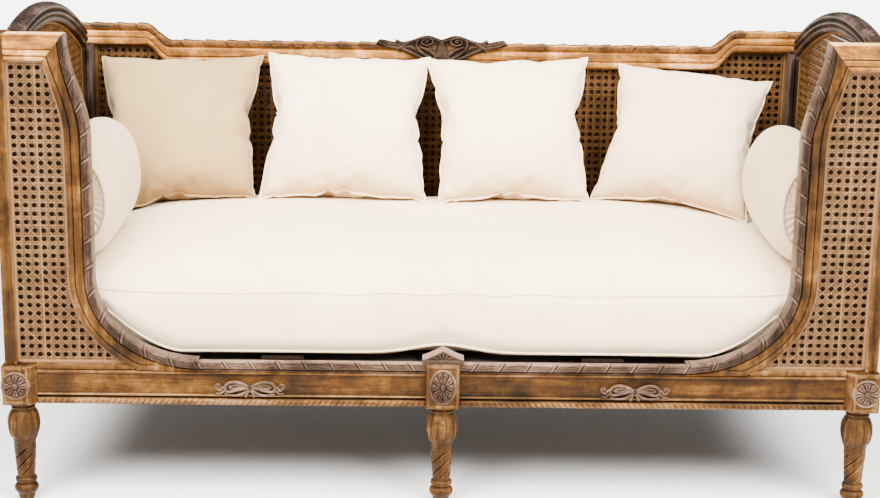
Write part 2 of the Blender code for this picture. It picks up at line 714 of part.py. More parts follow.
def moulding_section():
    """Section of the ribbon moulding on the rail: a rounded nose over a flat back."""
    points = [(MOULDING_DEPTH - MOULDING_PROUD, 0.0), (MOULDING_DEPTH - MOULDING_PROUD, MOULDING_HEIGHT)]
    for share in arc(6):
        angle = math.pi / 2.0 + math.pi * share
        radius = MOULDING_HEIGHT / 2.0
        points.append((radius - MOULDING_PROUD + radius * math.cos(angle), radius + radius * math.sin(angle)))
    return points


MOULDING_START = CENTRE_SIDE_X
MOULDING_LENGTH = SWEEP_CENTRE_X - MOULDING_START
for side, sign in (("left", -1.0), ("right", 1.0)):
    seat = (sign * (MOULDING_START + MOULDING_LENGTH / 2.0), FRONT_Y, RAIL_TOP + CLEAR)
    plate("seat_moulding_" + side, [moulding_section()], MOULDING_LENGTH, WOOD, seat, SIDE_PLANE)


def rosette(name, width, height, x, z):
    """A turned boss with petals raised round it, facing forward from a block."""
    relief = ROSETTE_RELIEF
    profile = [
        (0.0, relief),
        (0.16, relief * 0.92),
        (0.26, relief * 0.55),
        (0.52, relief * 0.90),
        (0.80, relief * 0.70),
        (0.94, relief * 0.25),
        (1.0, 0.0),
        (0.0, 0.0),
    ]
    mesh = turned_mesh(name, profile, ROSETTE_PETALS * 3)
    for vert in mesh.vertices:
        radius = math.hypot(vert.co.x, vert.co.y)
        if 0.4 < radius < 0.98:
            wave = math.cos(ROSETTE_PETALS * math.atan2(vert.co.y, vert.co.x))
            vert.co.z *= 0.82 + 0.18 * wave
        vert.co.x *= width / 2.0
        vert.co.y *= height / 2.0
    obj = add_object(name, mesh, WORN_WOOD, (x, BLOCK_FRONT_Y - CLEAR, z), FRONT_PLANE)
    return smooth(obj, 40.0)


ROSETTE_X = LEG_X + BLOCK_CHAMFER / 2.0
ROSETTE_Z = LEG_HEIGHT + (BLOCK_TOP - LEG_HEIGHT) / 2.0
rosette("rosette_left", 2.0 * ROSETTE_RADIUS, 2.0 * ROSETTE_RADIUS, -ROSETTE_X, ROSETTE_Z)
rosette("rosette_right", 2.0 * ROSETTE_RADIUS, 2.0 * ROSETTE_RADIUS, ROSETTE_X, ROSETTE_Z)
OVAL_Z = LEG_HEIGHT + (SEAT_BORDER_TOP - LEG_HEIGHT) / 2.0
rosette("rosette_centre", OVAL_ROSETTE_WIDTH, OVAL_ROSETTE_HEIGHT, 0.0, OVAL_Z)


def bow_outlines():
    """A ribbon bow: two loops with open eyes, a knot between them and drooping tails."""
    half, tall = BOW_WIDTH / 2.0, BOW_HEIGHT / 2.0
    top, low = [], []
    for share in arc(24):
        reach = abs(2.0 * share - 1.0)
        loop = math.sin(math.pi * min(reach / 0.72, 1.0)) ** 0.8 if reach < 0.72 else 0.0
        tail = ease((reach - 0.60) / 0.25) * (1.0 - 0.55 * ease((reach - 0.85) / 0.15))
        x = -half + BOW_WIDTH * share
        top.append((x, tall * (0.30 + 0.70 * loop) - tall * 0.62 * tail))
        low.append((x, -tall * (0.34 + 0.46 * loop) - tall * 0.46 * tail))
    outlines = [low + top[::-1]]
    for sign in (-1.0, 1.0):
        eye = []
        for share in arc(10)[:-1]:
            angle = 2.0 * math.pi * share
            eye.append((sign * half * 0.36 + half * 0.15 * math.cos(angle), tall * (0.10 + 0.32 * math.sin(angle))))
        outlines.append(eye)
    return outlines


BOW_SEAT = FRONT_Y + RAIL_BEAD * 0.7 - CLEAR
BOW_Z = LEG_HEIGHT + 3.0 * RAIL_BEAD + BOW_HEIGHT / 2.0 + CLEAR
for side, sign in (("left", -1.0), ("right", 1.0)):
    plate("bow_" + side, bow_outlines(), BOW_RELIEF, WOOD, (sign * BOW_X, BOW_SEAT - BOW_RELIEF / 2.0, BOW_Z), FRONT_PLANE)


def cap_outline():
    """A low pediment with hollow slopes, set on the centre block."""
    half = CAP_WIDTH / 2.0
    foot = SEAT_BORDER_TOP + CLEAR
    points = [(-half, foot), (half, foot), (half, foot + CAP_RISE * 0.22)]
    for share in arc(8)[1:]:
        points.append((half * (1.0 - share), foot + CAP_RISE * (0.22 + 0.78 * share ** 1.6)))
    for share in arc(8)[1:]:
        points.append((-half * share, foot + CAP_RISE * (0.22 + 0.78 * (1.0 - share) ** 1.6)))
    return points


CAP_Y = BLOCK_FRONT_Y + CAP_DEPTH / 2.0
plate("centre_cap", [cap_outline()], CAP_DEPTH, WORN_WOOD, (0.0, CAP_Y, 0.0), FRONT_PLANE)


# Deck under the cushion: ledgers screwed to the rails, slats across them and corner braces


def side_inner_x(y):
    """Inner face of the side rail at a depth."""
    centre = ARM_FRONT_X - (y - ARM_START_Y) * math.tan(ARM_ANGLE)
    return centre - SIDE_RAIL_THICK / 2.0 / math.cos(ARM_ANGLE) - CLEAR


LEDGER_TOP = DECK_HEIGHT - SLAT_THICK - CLEAR
LEDGER_Z = LEDGER_TOP - LEDGER_HEIGHT / 2.0
FRONT_LEDGER_Y = FRONT_Y + RAIL_THICK + CLEAR + LEDGER_WIDTH / 2.0
REAR_LEDGER_Y = REAR_RAIL_FRONT_Y - CLEAR - LEDGER_WIDTH / 2.0
LEDGER_LENGTH = 2.0 * min(BLOCK_INNER_X, side_inner_x(FRONT_LEDGER_Y))
REAR_LEDGER_LENGTH = 2.0 * REAR_RAIL_END
LEDGER_SECTION = (LEDGER_WIDTH, LEDGER_HEIGHT)
box("front_ledger", (LEDGER_LENGTH, *LEDGER_SECTION), (0.0, FRONT_LEDGER_Y, LEDGER_Z), RAW_WOOD)
box("rear_ledger", (REAR_LEDGER_LENGTH, *LEDGER_SECTION), (0.0, REAR_LEDGER_Y, LEDGER_Z), RAW_WOOD)

SLAT_START_Y = FRONT_Y + RAIL_THICK + CLEAR
SLAT_END_Y = min(REAR_RAIL_FRONT_Y, SILL_Y - PANEL_RAIL_THICK / 2.0) - CLEAR
SLAT_PITCH = LEDGER_LENGTH / SLAT_COUNT
SLAT_Y = (SLAT_START_Y + SLAT_END_Y) / 2.0
for index in range(SLAT_COUNT):
    x = (index - (SLAT_COUNT - 1) / 2.0) * SLAT_PITCH
    size = (SLAT_WIDTH, SLAT_END_Y - SLAT_START_Y, SLAT_THICK)
    box("seat_slat_%d" % (index + 1), size, (x, SLAT_Y, DECK_HEIGHT - SLAT_THICK / 2.0), RAW_WOOD)


def brace_outline(sign, rail_y, block_x, block_y, inward):
    """Plan of a corner brace that fits round a block, against a long rail and a side rail."""
    reach_y = block_y + inward * BRACE_LENGTH
    side_x = min(side_inner_x(block_y), side_inner_x(reach_y))
    corner_x = min(block_x, side_x)
    points = [(corner_x - BRACE_LENGTH, rail_y), (corner_x, rail_y)]
    if corner_x < side_x:
        points.append((corner_x, block_y))
    points += [(side_x, block_y), (side_inner_x(reach_y), reach_y)]
    return [(sign * u, v) for u, v in points]


BRACE_Z = LEG_HEIGHT + CLEAR + BRACE_HEIGHT / 2.0
for side, sign in (("left", -1.0), ("right", 1.0)):
    front = brace_outline(sign, FRONT_Y + RAIL_THICK + CLEAR, BLOCK_INNER_X, SIDE_START_Y + CLEAR, 1.0)
    plate("front_brace_" + side, [front], BRACE_HEIGHT, RAW_WOOD, (0.0, 0.0, BRACE_Z), (0.0, 0.0, 0.0))
    rear = brace_outline(sign, REAR_RAIL_FRONT_Y - CLEAR, REAR_RAIL_END, SIDE_END_Y - CLEAR, -1.0)
    plate("rear_brace_" + side, [rear], BRACE_HEIGHT, RAW_WOOD, (0.0, 0.0, BRACE_Z), (0.0, 0.0, 0.0))


# Soft pieces


def soft_cage(cuts):
    """A unit cube with its faces divided, as the cage of a padded form."""
    bm = bmesh.new()
    bmesh.ops.create_cube(bm, size=2.0)
    bmesh.ops.subdivide_edges(bm, edges=bm.edges[:], cuts=cuts, use_grid_fill=True)
    return bm


def padded(name, bm, look, location, rotation=(0.0, 0.0, 0.0)):
    """A padded form: its cage, rounded by subdivision."""
    obj = add_object(name, mesh_from(name, bm), look, location, rotation)
    rounding = obj.modifiers.new("rounding", "SUBSURF")
    rounding.levels = 1
    rounding.render_levels = 1
    obj.data.shade_smooth()
    return obj


SEAT_DEPTH = SEAT_BACK_Y - SEAT_FRONT_Y
SEAT_MIDDLE_Y = (SEAT_FRONT_Y + SEAT_BACK_Y) / 2.0


def seat_cushion():
    """One boxed cushion: a high crown, a flat foot and sides drawn in at the welts."""
    bm = soft_cage(5)
    for vert in bm.verts:
        x, y, z = vert.co
        fall = (1.0 - abs(x) ** 4) * (1.0 - abs(y) ** 4)
        waist = 1.0 - CUSHION_BULGE / (SEAT_DEPTH / 2.0) * z * z
        up = (z + 1.0) / 2.0
        height = CUSHION_EDGE * up + CUSHION_CROWN * fall * up
        vert.co = (x * (SEAT_HALF_WIDTH - CUSHION_BULGE * z * z), y * SEAT_DEPTH / 2.0 * waist, height)
    return padded("seat_cushion", bm, LINEN, (0.0, SEAT_MIDDLE_Y, SEAT_BOTTOM))


def rest_on(piece, below, gap):
    """Lower or raise a soft piece until it clears the one below it by a small gap."""
    bpy.context.view_layer.update()
    depsgraph = bpy.context.evaluated_depsgraph_get()
    shapes = []
    for obj in (piece, below):
        mesh = bpy.data.meshes.new_from_object(obj.evaluated_get(depsgraph))
        mesh.transform(obj.matrix_world)
        points = [vert.co.copy() for vert in mesh.vertices]
        faces = [tuple(face.vertices) for face in mesh.polygons]
        shapes.append((points, BVHTree.FromPolygons(points, faces)))
        bpy.data.meshes.remove(mesh)
    (upper_points, upper_tree), (lower_points, lower_tree) = shapes
    start = 2.0
    nearest = start
    for point in upper_points:
        hit = lower_tree.ray_cast(Vector((point.x, point.y, start)), Vector((0.0, 0.0, -1.0)))
        if hit[0] is not None:
            nearest = min(nearest, point.z - hit[0].z)
    for point in lower_points:
        hit = upper_tree.ray_cast(Vector((point.x, point.y, -start)), Vector((0.0, 0.0, 1.0)))
        if hit[0] is not None:
            nearest = min(nearest, hit[0].z - point.z)
    piece.location.z += gap - nearest


def bolster(name, sign):
    """A round bolster with drawn-in gathered ends, a little taller than wide where it is wedged."""
    half = BOLSTER_LENGTH / 2.0
    profile = [(0.0, half - 0.10 * BOLSTER_ROLL), (0.20, half - 0.07 * BOLSTER_ROLL), (BOLSTER_END_RADIUS, half)]
    profile += [(0.86, half - 0.15 * BOLSTER_ROLL), (0.97, half - 0.46 * BOLSTER_ROLL), (1.0, half - BOLSTER_ROLL)]
    profile += [(radius, -height) for radius, height in reversed(profile)]
    mesh = turned_mesh(name, profile, 20)
    for vert in mesh.vertices:
        along = vert.co.z
        vert.co = (vert.co.x * BOLSTER_WIDTH / 2.0, along, -vert.co.y * BOLSTER_HEIGHT / 2.0)
    x = sign * (SEAT_HALF_WIDTH - BOLSTER_WIDTH / 2.0)
    y = SEAT_FRONT_Y + BOLSTER_FRONT_GAP + half
    obj = add_object(name, mesh, LINEN, (x, y, SEAT_BOTTOM + CUSHION_EDGE + BOLSTER_HEIGHT))
    return smooth(obj, 60.0)


def pillow_cage(bm):
    """A knife-edge square: swollen in the middle, its sides drawn in between pointed corners."""
    half = PILLOW_SIZE / 2.0
    for vert in bm.verts:
        x, y, z = vert.co
        swell = ((1.0 - x * x) * (1.0 - y * y)) ** 0.55
        draw_x = 1.0 - PILLOW_PINCH * (1.0 - y * y)
        draw_y = 1.0 - PILLOW_PINCH * (1.0 - x * x)
        thick = PILLOW_EDGE / 2.0 + (PILLOW_THICK - PILLOW_EDGE) / 2.0 * swell
        vert.co = (x * half * draw_x, y * half * draw_y, z * thick)
    return bm


def pillow(name, x, lean, turn, roll, wall_y, look):
    """A scatter pillow leaning on a wall, turned about the upright and rolled in its own plane."""
    obj = padded(name, pillow_cage(soft_cage(3)), look, (x, 0.0, SEAT_BOTTOM + PILLOW_SIZE))
    spin = Matrix.Rotation(turn, 4, "Z") @ Matrix.Rotation(math.pi / 2.0 - lean, 4, "X")
    obj.rotation_euler = (spin @ Matrix.Rotation(roll, 4, "Z")).to_euler()
    bpy.context.view_layer.update()
    depsgraph = bpy.context.evaluated_depsgraph_get()
    mesh = bpy.data.meshes.new_from_object(obj.evaluated_get(depsgraph))
    reach = max((obj.matrix_world @ vert.co).y for vert in mesh.vertices)
    bpy.data.meshes.remove(mesh)
    obj.location.y = wall_y - PILLOW_BACK_GAP - reach
    return obj


seat = seat_cushion()
for side, sign in (("left", -1.0), ("right", 1.0)):
    rest_on(bolster("bolster_" + side, sign), seat, SOFT_CLEAR)

CARVING_FRONT_Y = CARVING_Y - CARVING_THICK / 2.0
FAR_RIGHT_TURN = (math.radians(41.0), math.radians(-13.0), math.radians(-3.0))
PILLOW_PLACES = (
    ("pillow_far_left", -0.635, (PILLOW_LEAN, 0.0, math.radians(1.5)), BACK_Y, SHADED_LINEN),
    ("pillow_mid_left", -0.231, (PILLOW_LEAN, 0.0, math.radians(-1.0)), CARVING_FRONT_Y, LINEN),
    ("pillow_mid_right", 0.167, (PILLOW_LEAN, 0.0, math.radians(1.5)), CARVING_FRONT_Y, LINEN),
    ("pillow_far_right", 0.581, FAR_RIGHT_TURN, BACK_Y, LINEN),
)
for name, x, angles, wall_y, look in PILLOW_PLACES:
    rest_on(pillow(name, x, *angles, wall_y, look), seat, SOFT_CLEAR)
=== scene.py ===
"""Dressing of a caned settee: carved frame, cane panels and linen cushions.

Every piece is a surface worked out on a grid of two parameters, in metres, in the frame of the
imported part: x runs along the front, y to the back and z up from the floor.
"""
import logging
import math
from dataclasses import dataclass
from enum import Enum
from typing import Callable, Optional, Sequence, Union

import bpy
import numpy as np
from mathutils import Matrix, Vector
from mathutils.bvhtree import BVHTree


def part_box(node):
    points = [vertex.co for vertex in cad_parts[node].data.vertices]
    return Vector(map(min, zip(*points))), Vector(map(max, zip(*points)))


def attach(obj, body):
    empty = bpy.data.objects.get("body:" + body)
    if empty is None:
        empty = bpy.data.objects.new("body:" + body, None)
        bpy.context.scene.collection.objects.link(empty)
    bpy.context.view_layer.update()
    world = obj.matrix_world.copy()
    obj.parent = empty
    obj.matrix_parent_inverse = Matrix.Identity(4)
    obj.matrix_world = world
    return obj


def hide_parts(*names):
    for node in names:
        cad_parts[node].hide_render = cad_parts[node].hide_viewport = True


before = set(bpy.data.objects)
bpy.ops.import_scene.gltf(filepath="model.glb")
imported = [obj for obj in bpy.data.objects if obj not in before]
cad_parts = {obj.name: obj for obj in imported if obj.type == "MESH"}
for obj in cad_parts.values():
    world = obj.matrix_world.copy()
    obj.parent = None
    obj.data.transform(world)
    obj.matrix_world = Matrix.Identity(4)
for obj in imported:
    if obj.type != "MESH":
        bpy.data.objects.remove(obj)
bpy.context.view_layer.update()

Array = np.ndarray
Colour = tuple[float, float, float]
Place = tuple[float, float, float]
Socket = bpy.types.NodeSocket
Material = bpy.types.Material
LOG = logging.getLogger("settee")
FRAME_BODY = "frame"
FULL_TURN = 2.0 * math.pi
MILLIMETRE = 0.001
WHITE: Colour = (1.0, 1.0, 1.0)
PLAIN_TONE = 0.5
CRISP = 42.0
SMOOTH = 180.0
HOVER = 0.0006


class Side(Enum):
    """The two ends of the settee, as seen from the front."""

    LEFT = -1.0
    RIGHT = 1.0

    @property
    def label(self) -> str:
        """Ending of the node names on this side."""
        return self.name.lower()

    def own(self, skin: "Skin") -> "Skin":
        """A surface made for the right end, mirrored where this is the left one."""
        return skin if self is Side.RIGHT else skin.mirrored()


class Strip(Enum):
    """The parts across the width of the border."""

    WHOLE = "whole"
    RIBBON = "ribbon"
    BAND = "band"


class Grain(Enum):
    """Direction in which the wood's fibres run."""

    ALONG = (0.07, 1.0, 1.0)
    DEEP = (1.0, 0.07, 1.0)
    UPRIGHT = (1.0, 1.0, 0.07)


def ease(share: Array) -> Array:
    """Smooth step: three times the square less twice the cube of a share held between 0 and 1."""
    share = np.clip(share, 0.0, 1.0)
    return share * share * (3.0 - 2.0 * share)


def bell(distance: Array, width: float) -> Array:
    """Bell curve: e to minus the square of distance over width."""
    return np.exp(-((distance / width) ** 2))


def beads(distance: Array, *rows: tuple[float, float, float]) -> Array:
    """Sum of bell-shaped beads, given by height, middle and width; a height below 0 is a groove."""
    return sum(height * bell(distance - middle, width) for height, middle, width in rows)


def half_round(share: Array) -> Array:
    """Height of a half circle at a share of its radius from the middle, and 0 outside it."""
    return np.sqrt(np.clip(1.0 - share**2, 0.0, 1.0))


def round_turn(count: int) -> Array:
    """Angles all the way round, in even steps."""
    return np.linspace(0.0, FULL_TURN, count, endpoint=False)


def grid(*parts: Union[float, Array]) -> Array:
    """Values spread to one shape and laid side by side, such as the coordinates of places."""
    return np.stack(np.broadcast_arrays(*parts), axis=-1)


def chance(number: Array) -> Array:
    """Repeatable scatter between 0 and 1: the fraction left of a large sine of the number."""
    return np.mod(np.sin(number * 12.9898 + 4.1414) * 43758.5453, 1.0)


def running(points: Array) -> Array:
    """Length run from the start to each corner of a polyline."""
    return np.concatenate([[0.0], np.cumsum(np.linalg.norm(np.diff(points, axis=0), axis=1))])


def at_lengths(points: Array, runs: Array, wanted: Array) -> Array:
    """Places on a polyline at the wanted lengths, each column interpolated on the running length."""
    return np.stack([np.interp(wanted, runs, column) for column in points.T], axis=1)


def resampled(points: Array, step: float) -> Array:
    """Points along a polyline in even steps, about as long as asked."""
    runs = running(points)
    count = max(int(math.ceil(runs[-1] / step)), 2) + 1
    return at_lengths(points, runs, np.linspace(0.0, runs[-1], count))


@dataclass
class Skin:
    """A surface before it becomes a mesh.

    Attributes:
        points: Vertex places, one row each.
        corners: Vertex number at each face corner, face after face.
        counts: Number of corners of each face.
        wear: Worn share at each vertex, 0 in a groove, 0.5 on a flat and 1 on a raised edge; on cane the
            strand's tone, and on the pillows painted shade, which darkens the cloth below 0.48.
        uv: Place on the cloth at each face corner, in metres.
    """

    points: Array
    corners: Array
    counts: Array
    wear: Array
    uv: Array

    def __add__(self, other: "Skin") -> "Skin":
        """Both surfaces as one, side by side."""
        return Skin(
            np.concatenate([self.points, other.points]),
            np.concatenate([self.corners, other.corners + len(self.points)]),
            np.concatenate([self.counts, other.counts]),
            np.concatenate([self.wear, other.wear]),
            np.concatenate([self.uv, other.uv]),
        )

    def faces(self) -> list[list[int]]:
        """Vertex numbers of each face."""
        return [face.tolist() for face in np.split(self.corners, np.cumsum(self.counts)[:-1])]

    def mirrored(self) -> "Skin":
        """The same surface on the other side of the middle, its faces turned round again."""
        ends = np.cumsum(self.counts)
        starts = ends - self.counts
        place = np.arange(len(self.corners))
        face = np.repeat(np.arange(len(self.counts)), self.counts)
        back = starts[face] + ends[face] - 1 - place
        return Skin(self.points * (-1.0, 1.0, 1.0), self.corners[back], self.counts, self.wear, self.uv[back])


def joined(skins: Sequence[Skin]) -> Skin:
    """Several surfaces as one, side by side."""
    total = skins[0]
    for skin in skins[1:]:
        total = total + skin
    return total


def edge_wear(rings: Array, outward: float, looped: bool, reach: float) -> Array:
    """How far each point stands out of the middle of its neighbours, along the outward normal.

    Args:
        rings: Grid of points, one ring to a row.
        outward: 1 or -1, the sense in which the grid's normal points out.
        looped: True where the last ring runs on into the first.
        reach: Distance that counts as fully worn or fully sunk.

    Returns:
        0.5 on a flat, up to 1 on a raised edge and down to 0 in a groove.
    """
    ahead, behind = np.roll(rings, -1, axis=1), np.roll(rings, 1, axis=1)
    above, below = np.roll(rings, -1, axis=0), np.roll(rings, 1, axis=0)
    if not looped:
        above[-1], below[0] = rings[-1], rings[0]
        above[0], below[-1] = rings[0], rings[-1]
    normal = np.cross(ahead - behind, above - below)
    normal = normal / (np.linalg.norm(normal, axis=2, keepdims=True) + 1e-12)
    proud = np.sum((rings - (ahead + behind + above + below) / 4.0) * normal, axis=2) * outward
    proud = (2.0 * proud + np.roll(proud, 1, axis=1) + np.roll(proud, -1, axis=1)) / 3.0
    return np.clip(0.5 + np.where(proud > 0.0, 0.36, 0.5) * proud / reach, 0.0, 0.9)


def loft(
    rings: Array,
    wear: Optional[Array] = None,
    looped: bool = False,
    uv: Optional[Array] = None,
    reach: float = 0.0007,
) -> Skin:
    """Closed surface over rings of points: neighbours make faces and flat ends close it.

    Args:
        rings: Grid of points, one closed ring to a row.
        wear: Worn share of each point, or None to work it out from the form.
        looped: True where the last ring runs on into the first.
        uv: Cloth place of each point with one column more than the ring, or None.
        reach: Distance that counts as fully worn.

    Returns:
        The surface, its faces pointing out.
    """
    rows, cols = rings.shape[:2]
    index = np.arange(rows * cols).reshape(rows, cols)
    low = index if looped else index[:-1]
    high = np.roll(index, -1, axis=0) if looped else index[1:]
    quads = grid(low, np.roll(low, -1, axis=1), np.roll(high, -1, axis=1), high).reshape(-1, 4)
    corners, counts = quads.ravel(), np.full(len(quads), 4)
    if uv is None:
        spots = np.zeros((len(corners), 2))
    else:
        lower = uv if looped else uv[:-1]
        upper = np.roll(uv, -1, axis=0) if looped else uv[1:]
        spots = np.stack([lower[:, :-1], lower[:, 1:], upper[:, 1:], upper[:, :-1]], axis=2).reshape(-1, 2)
    if not looped:
        corners = np.concatenate([corners, index[0][::-1], index[-1]])
        counts = np.concatenate([counts, [cols, cols]])
        spots = np.concatenate([spots, np.zeros((2 * cols, 2))])
    points = rings.reshape(-1, 3)
    middle = points.mean(axis=0)
    corner = points[quads] - middle
    turned = np.cross(corner[:, 1] - corner[:, 3], corner[:, 2] - corner[:, 0])
    outward = 1.0 if np.sum(corner.mean(axis=1) * turned) >= 0.0 else -1.0
    if wear is None:
        wear = edge_wear(rings, outward, looped, reach)
    skin = Skin(points, corners, counts, np.broadcast_to(wear, (rows, cols)).ravel().astype(float), spots)
    if outward < 0.0:
        skin = skin.mirrored()
        skin.points = points
    return skin


def bar(plan: Array, levels: Array, axis: int, bevel: float = 0.0015) -> Skin:
    """A straight bar: one outline carried along an axis, drawn in a little at both ends.

    Args:
        plan: Outline in the two other directions, in their order.
        levels: Places along the axis, first and last being the ends.
        axis: 0, 1 or 2, the direction of the bar.
        bevel: How far the ends are drawn in and rounded.

    Returns:
        The closed bar.
    """
    ends = np.array([levels[0], levels[0] + bevel, levels[-1] - bevel, levels[-1]])
    stations = np.unique(np.concatenate([ends, levels]))
    stations = stations[(stations <= levels[0]) | (stations >= ends[1] - 1e-9)]
    stations = stations[(stations >= levels[-1]) | (stations <= ends[2] + 1e-9)]
    middle = (plan.max(axis=0) + plan.min(axis=0)) / 2.0
    half = (plan.max(axis=0) - plan.min(axis=0)) / 2.0
    shrink = np.ones((len(stations), 1, 2))
    shrink[[0, -1]] = (half - bevel) / half
    flat = middle + (plan - middle)[None] * shrink
    rings = np.empty((len(stations), len(plan), 3))
    rings[:, :, [way for way in range(3) if way != axis]] = flat
    rings[:, :, axis] = stations[:, None]
    return loft(rings)


def tube(path: Array, radius: Union[float, Array], sides: int = 10, flat: float = 1.0, closed: bool = False,
         facing: Place = (0.0, -1.0, 0.0)) -> Skin:
    """A cord along a path: an ellipse stood square to the path at each point.

    Args:
        path: Points that the cord follows.
        radius: Half width, one for all or one for each point.
        sides: Points round the ellipse.
        flat: Height of the ellipse as a share of its width.
        closed: True where the path runs on into its start.
        facing: Direction of the ellipse's height.

    Returns:
        The closed cord.
    """
    if closed:
        ahead = np.roll(path, -1, axis=0) - np.roll(path, 1, axis=0)
    else:
        ahead = np.gradient(path, axis=0)
    ahead = ahead / np.linalg.norm(ahead, axis=1, keepdims=True)
    across = np.cross(ahead, np.asarray(facing, dtype=float))
    across = across / (np.linalg.norm(across, axis=1, keepdims=True) + 1e-12)
    up = np.cross(across, ahead)
    angle = round_turn(sides)
    size = np.broadcast_to(radius, (len(path),))[:, None, None]
    ring = np.cos(angle)[None, :, None] * across[:, None] + flat * np.sin(angle)[None, :, None] * up[:, None]
    return loft(path[:, None] + size * ring, looped=closed)


def rounded(outline: Array, radius: float, turns: int = 3) -> Array:
    """An outline whose corners are cut back and rounded by a blend of the two sides.

    Args:
        outline: Corners in order, two columns.
        radius: How far from each corner the rounding starts.
        turns: Steps of each rounded corner.

    Returns:
        The softer outline.
    """
    before, after = np.roll(outline, 1, axis=0) - outline, np.roll(outline, -1, axis=0) - outline
    size_b, size_a = (np.linalg.norm(way, axis=1, keepdims=True) for way in (before, after))
    first = outline + before / size_b * np.minimum(radius, size_b * 0.45)
    last = outline + after / size_a * np.minimum(radius, size_a * 0.45)
    share = np.linspace(0.0, 1.0, turns + 1)[None, :, None]
    curve = (1 - share) ** 2 * first[:, None] + share**2 * last[:, None]
    curve += 2 * share * (1 - share) * outline[:, None]
    return curve.reshape(-1, 2)


class Recipe:
    """One node material, put together step by step."""

    def __init__(self, name: str) -> None:
        """Start an empty material with its shader."""
        self.material = bpy.data.materials.new(name)
        self.material.use_nodes = True
        self.nodes = self.material.node_tree.nodes
        self.links = self.material.node_tree.links
        self.shader = self.nodes["Principled BSDF"]

    def feed(self, socket: Socket, value: object) -> None:
        """Join a socket to another, or set it to a plain value."""
        if isinstance(value, Socket):
            self.links.new(value, socket)
        elif isinstance(value, tuple) and len(value) == 3 and socket.type == "RGBA":
            socket.default_value = (*value, 1.0)
        else:
            socket.default_value = value

    def node(
        self, kind: str, settings: dict[str, object], out: Union[int, str] = 0, **feeds: object
    ) -> Socket:
        """Add a node.

        Args:
            kind: Blender's name of the node.
            settings: Its properties.
            out: The output to hand back.
            **feeds: Inputs by name, with _ for a space, or i0, i1... by number.

        Returns:
            The chosen output socket.
        """
        made = self.nodes.new(kind)
        for key, value in settings.items():
            setattr(made, key, value)
        for key, value in feeds.items():
            numbered = key[0] == "i" and key[1:].isdigit()
            self.feed(made.inputs[int(key[1:]) if numbered else key.replace("_", " ")], value)
        return made.outputs[out]

    def place(self, scale: Sequence[float] = (1.0, 1.0, 1.0), output: str = "Object") -> Socket:
        """Coordinates of the piece, stretched by a scale for each direction."""
        source = self.node("ShaderNodeTexCoord", {}, output)
        return self.node("ShaderNodeMapping", {}, Vector=source, Scale=tuple(scale))

    def noise(self, place: Socket, scale: float, detail: float = 4.0, rough: float = 0.6,
              bend: float = 0.0) -> Socket:
        """Cloudy noise between 0 and 1."""
        return self.node(
            "ShaderNodeTexNoise", {}, Vector=place, Scale=scale, Detail=detail, Roughness=rough,
            Distortion=bend
        )

    def sum(self, kind: str, first: object, second: object) -> Socket:
        """One step of arithmetic."""
        return self.node("ShaderNodeMath", {"operation": kind}, i0=first, i1=second)

    def swing(self, source: Socket, low: float, high: float) -> Socket:
        """A 0 to 1 value spread between two others."""
        return self.node("ShaderNodeMapRange", {"clamp": True}, Value=source, To_Min=low, To_Max=high)

    def ramp(self, source: Socket, stops: Sequence[tuple[float, Colour]]) -> Socket:
        """Colours along a 0 to 1 value."""
        made = self.nodes.new("ShaderNodeValToRGB")
        line = made.color_ramp.elements
        for _ in stops[2:]:
            line.new(0.5)
        for stop, (place, colour) in zip(line, stops):
            stop.position = place
            stop.color = (*colour, 1.0)
        self.links.new(source, made.inputs[0])
        return made.outputs[0]

    def wear(self) -> Socket:
        """The piece's own layer: wear on wood, the strand's tone on cane and painted shade on the pillows."""
        return self.node("ShaderNodeAttribute", {"attribute_name": "wear"}, "Fac")

    def blend(self, kind: str, share: object, first: object, second: object) -> Socket:
        """Two colours mixed by a share."""
        made = self.nodes.new("ShaderNodeMix")
        made.data_type = "RGBA"
        made.blend_type = kind
        self.feed(made.inputs[0], share)
        self.feed(made.inputs[6], first)
        self.feed(made.inputs[7], second)
        return made.outputs[2]

    def bump(self, height: Socket, strength: float, distance: float,
             under: Optional[Socket] = None) -> Socket:
        """Surface normal tilted by a height."""
        feeds = {"Height": height, "Strength": strength, "Distance": distance}
        if under is not None:
            feeds["Normal"] = under
        return self.node("ShaderNodeBump", {}, **feeds)

    def dress(self, **feeds: object) -> Material:
        """Feed the shader's own sockets and hand the material over."""
        for key, value in feeds.items():
            self.feed(self.shader.inputs[key.replace("_", " ")], value)
        return self.material


class Finish:
    """A finish makes its material once and hands the same one to every piece."""

    made: dict["Finish", Material] = {}

    def material(self) -> Material:
        """The material of this finish."""
        if self not in Finish.made:
            Finish.made[self] = self.mixed()
        return Finish.made[self]

    def mixed(self) -> Material:
        """Mix the material; each finish has its own way."""
        raise NotImplementedError


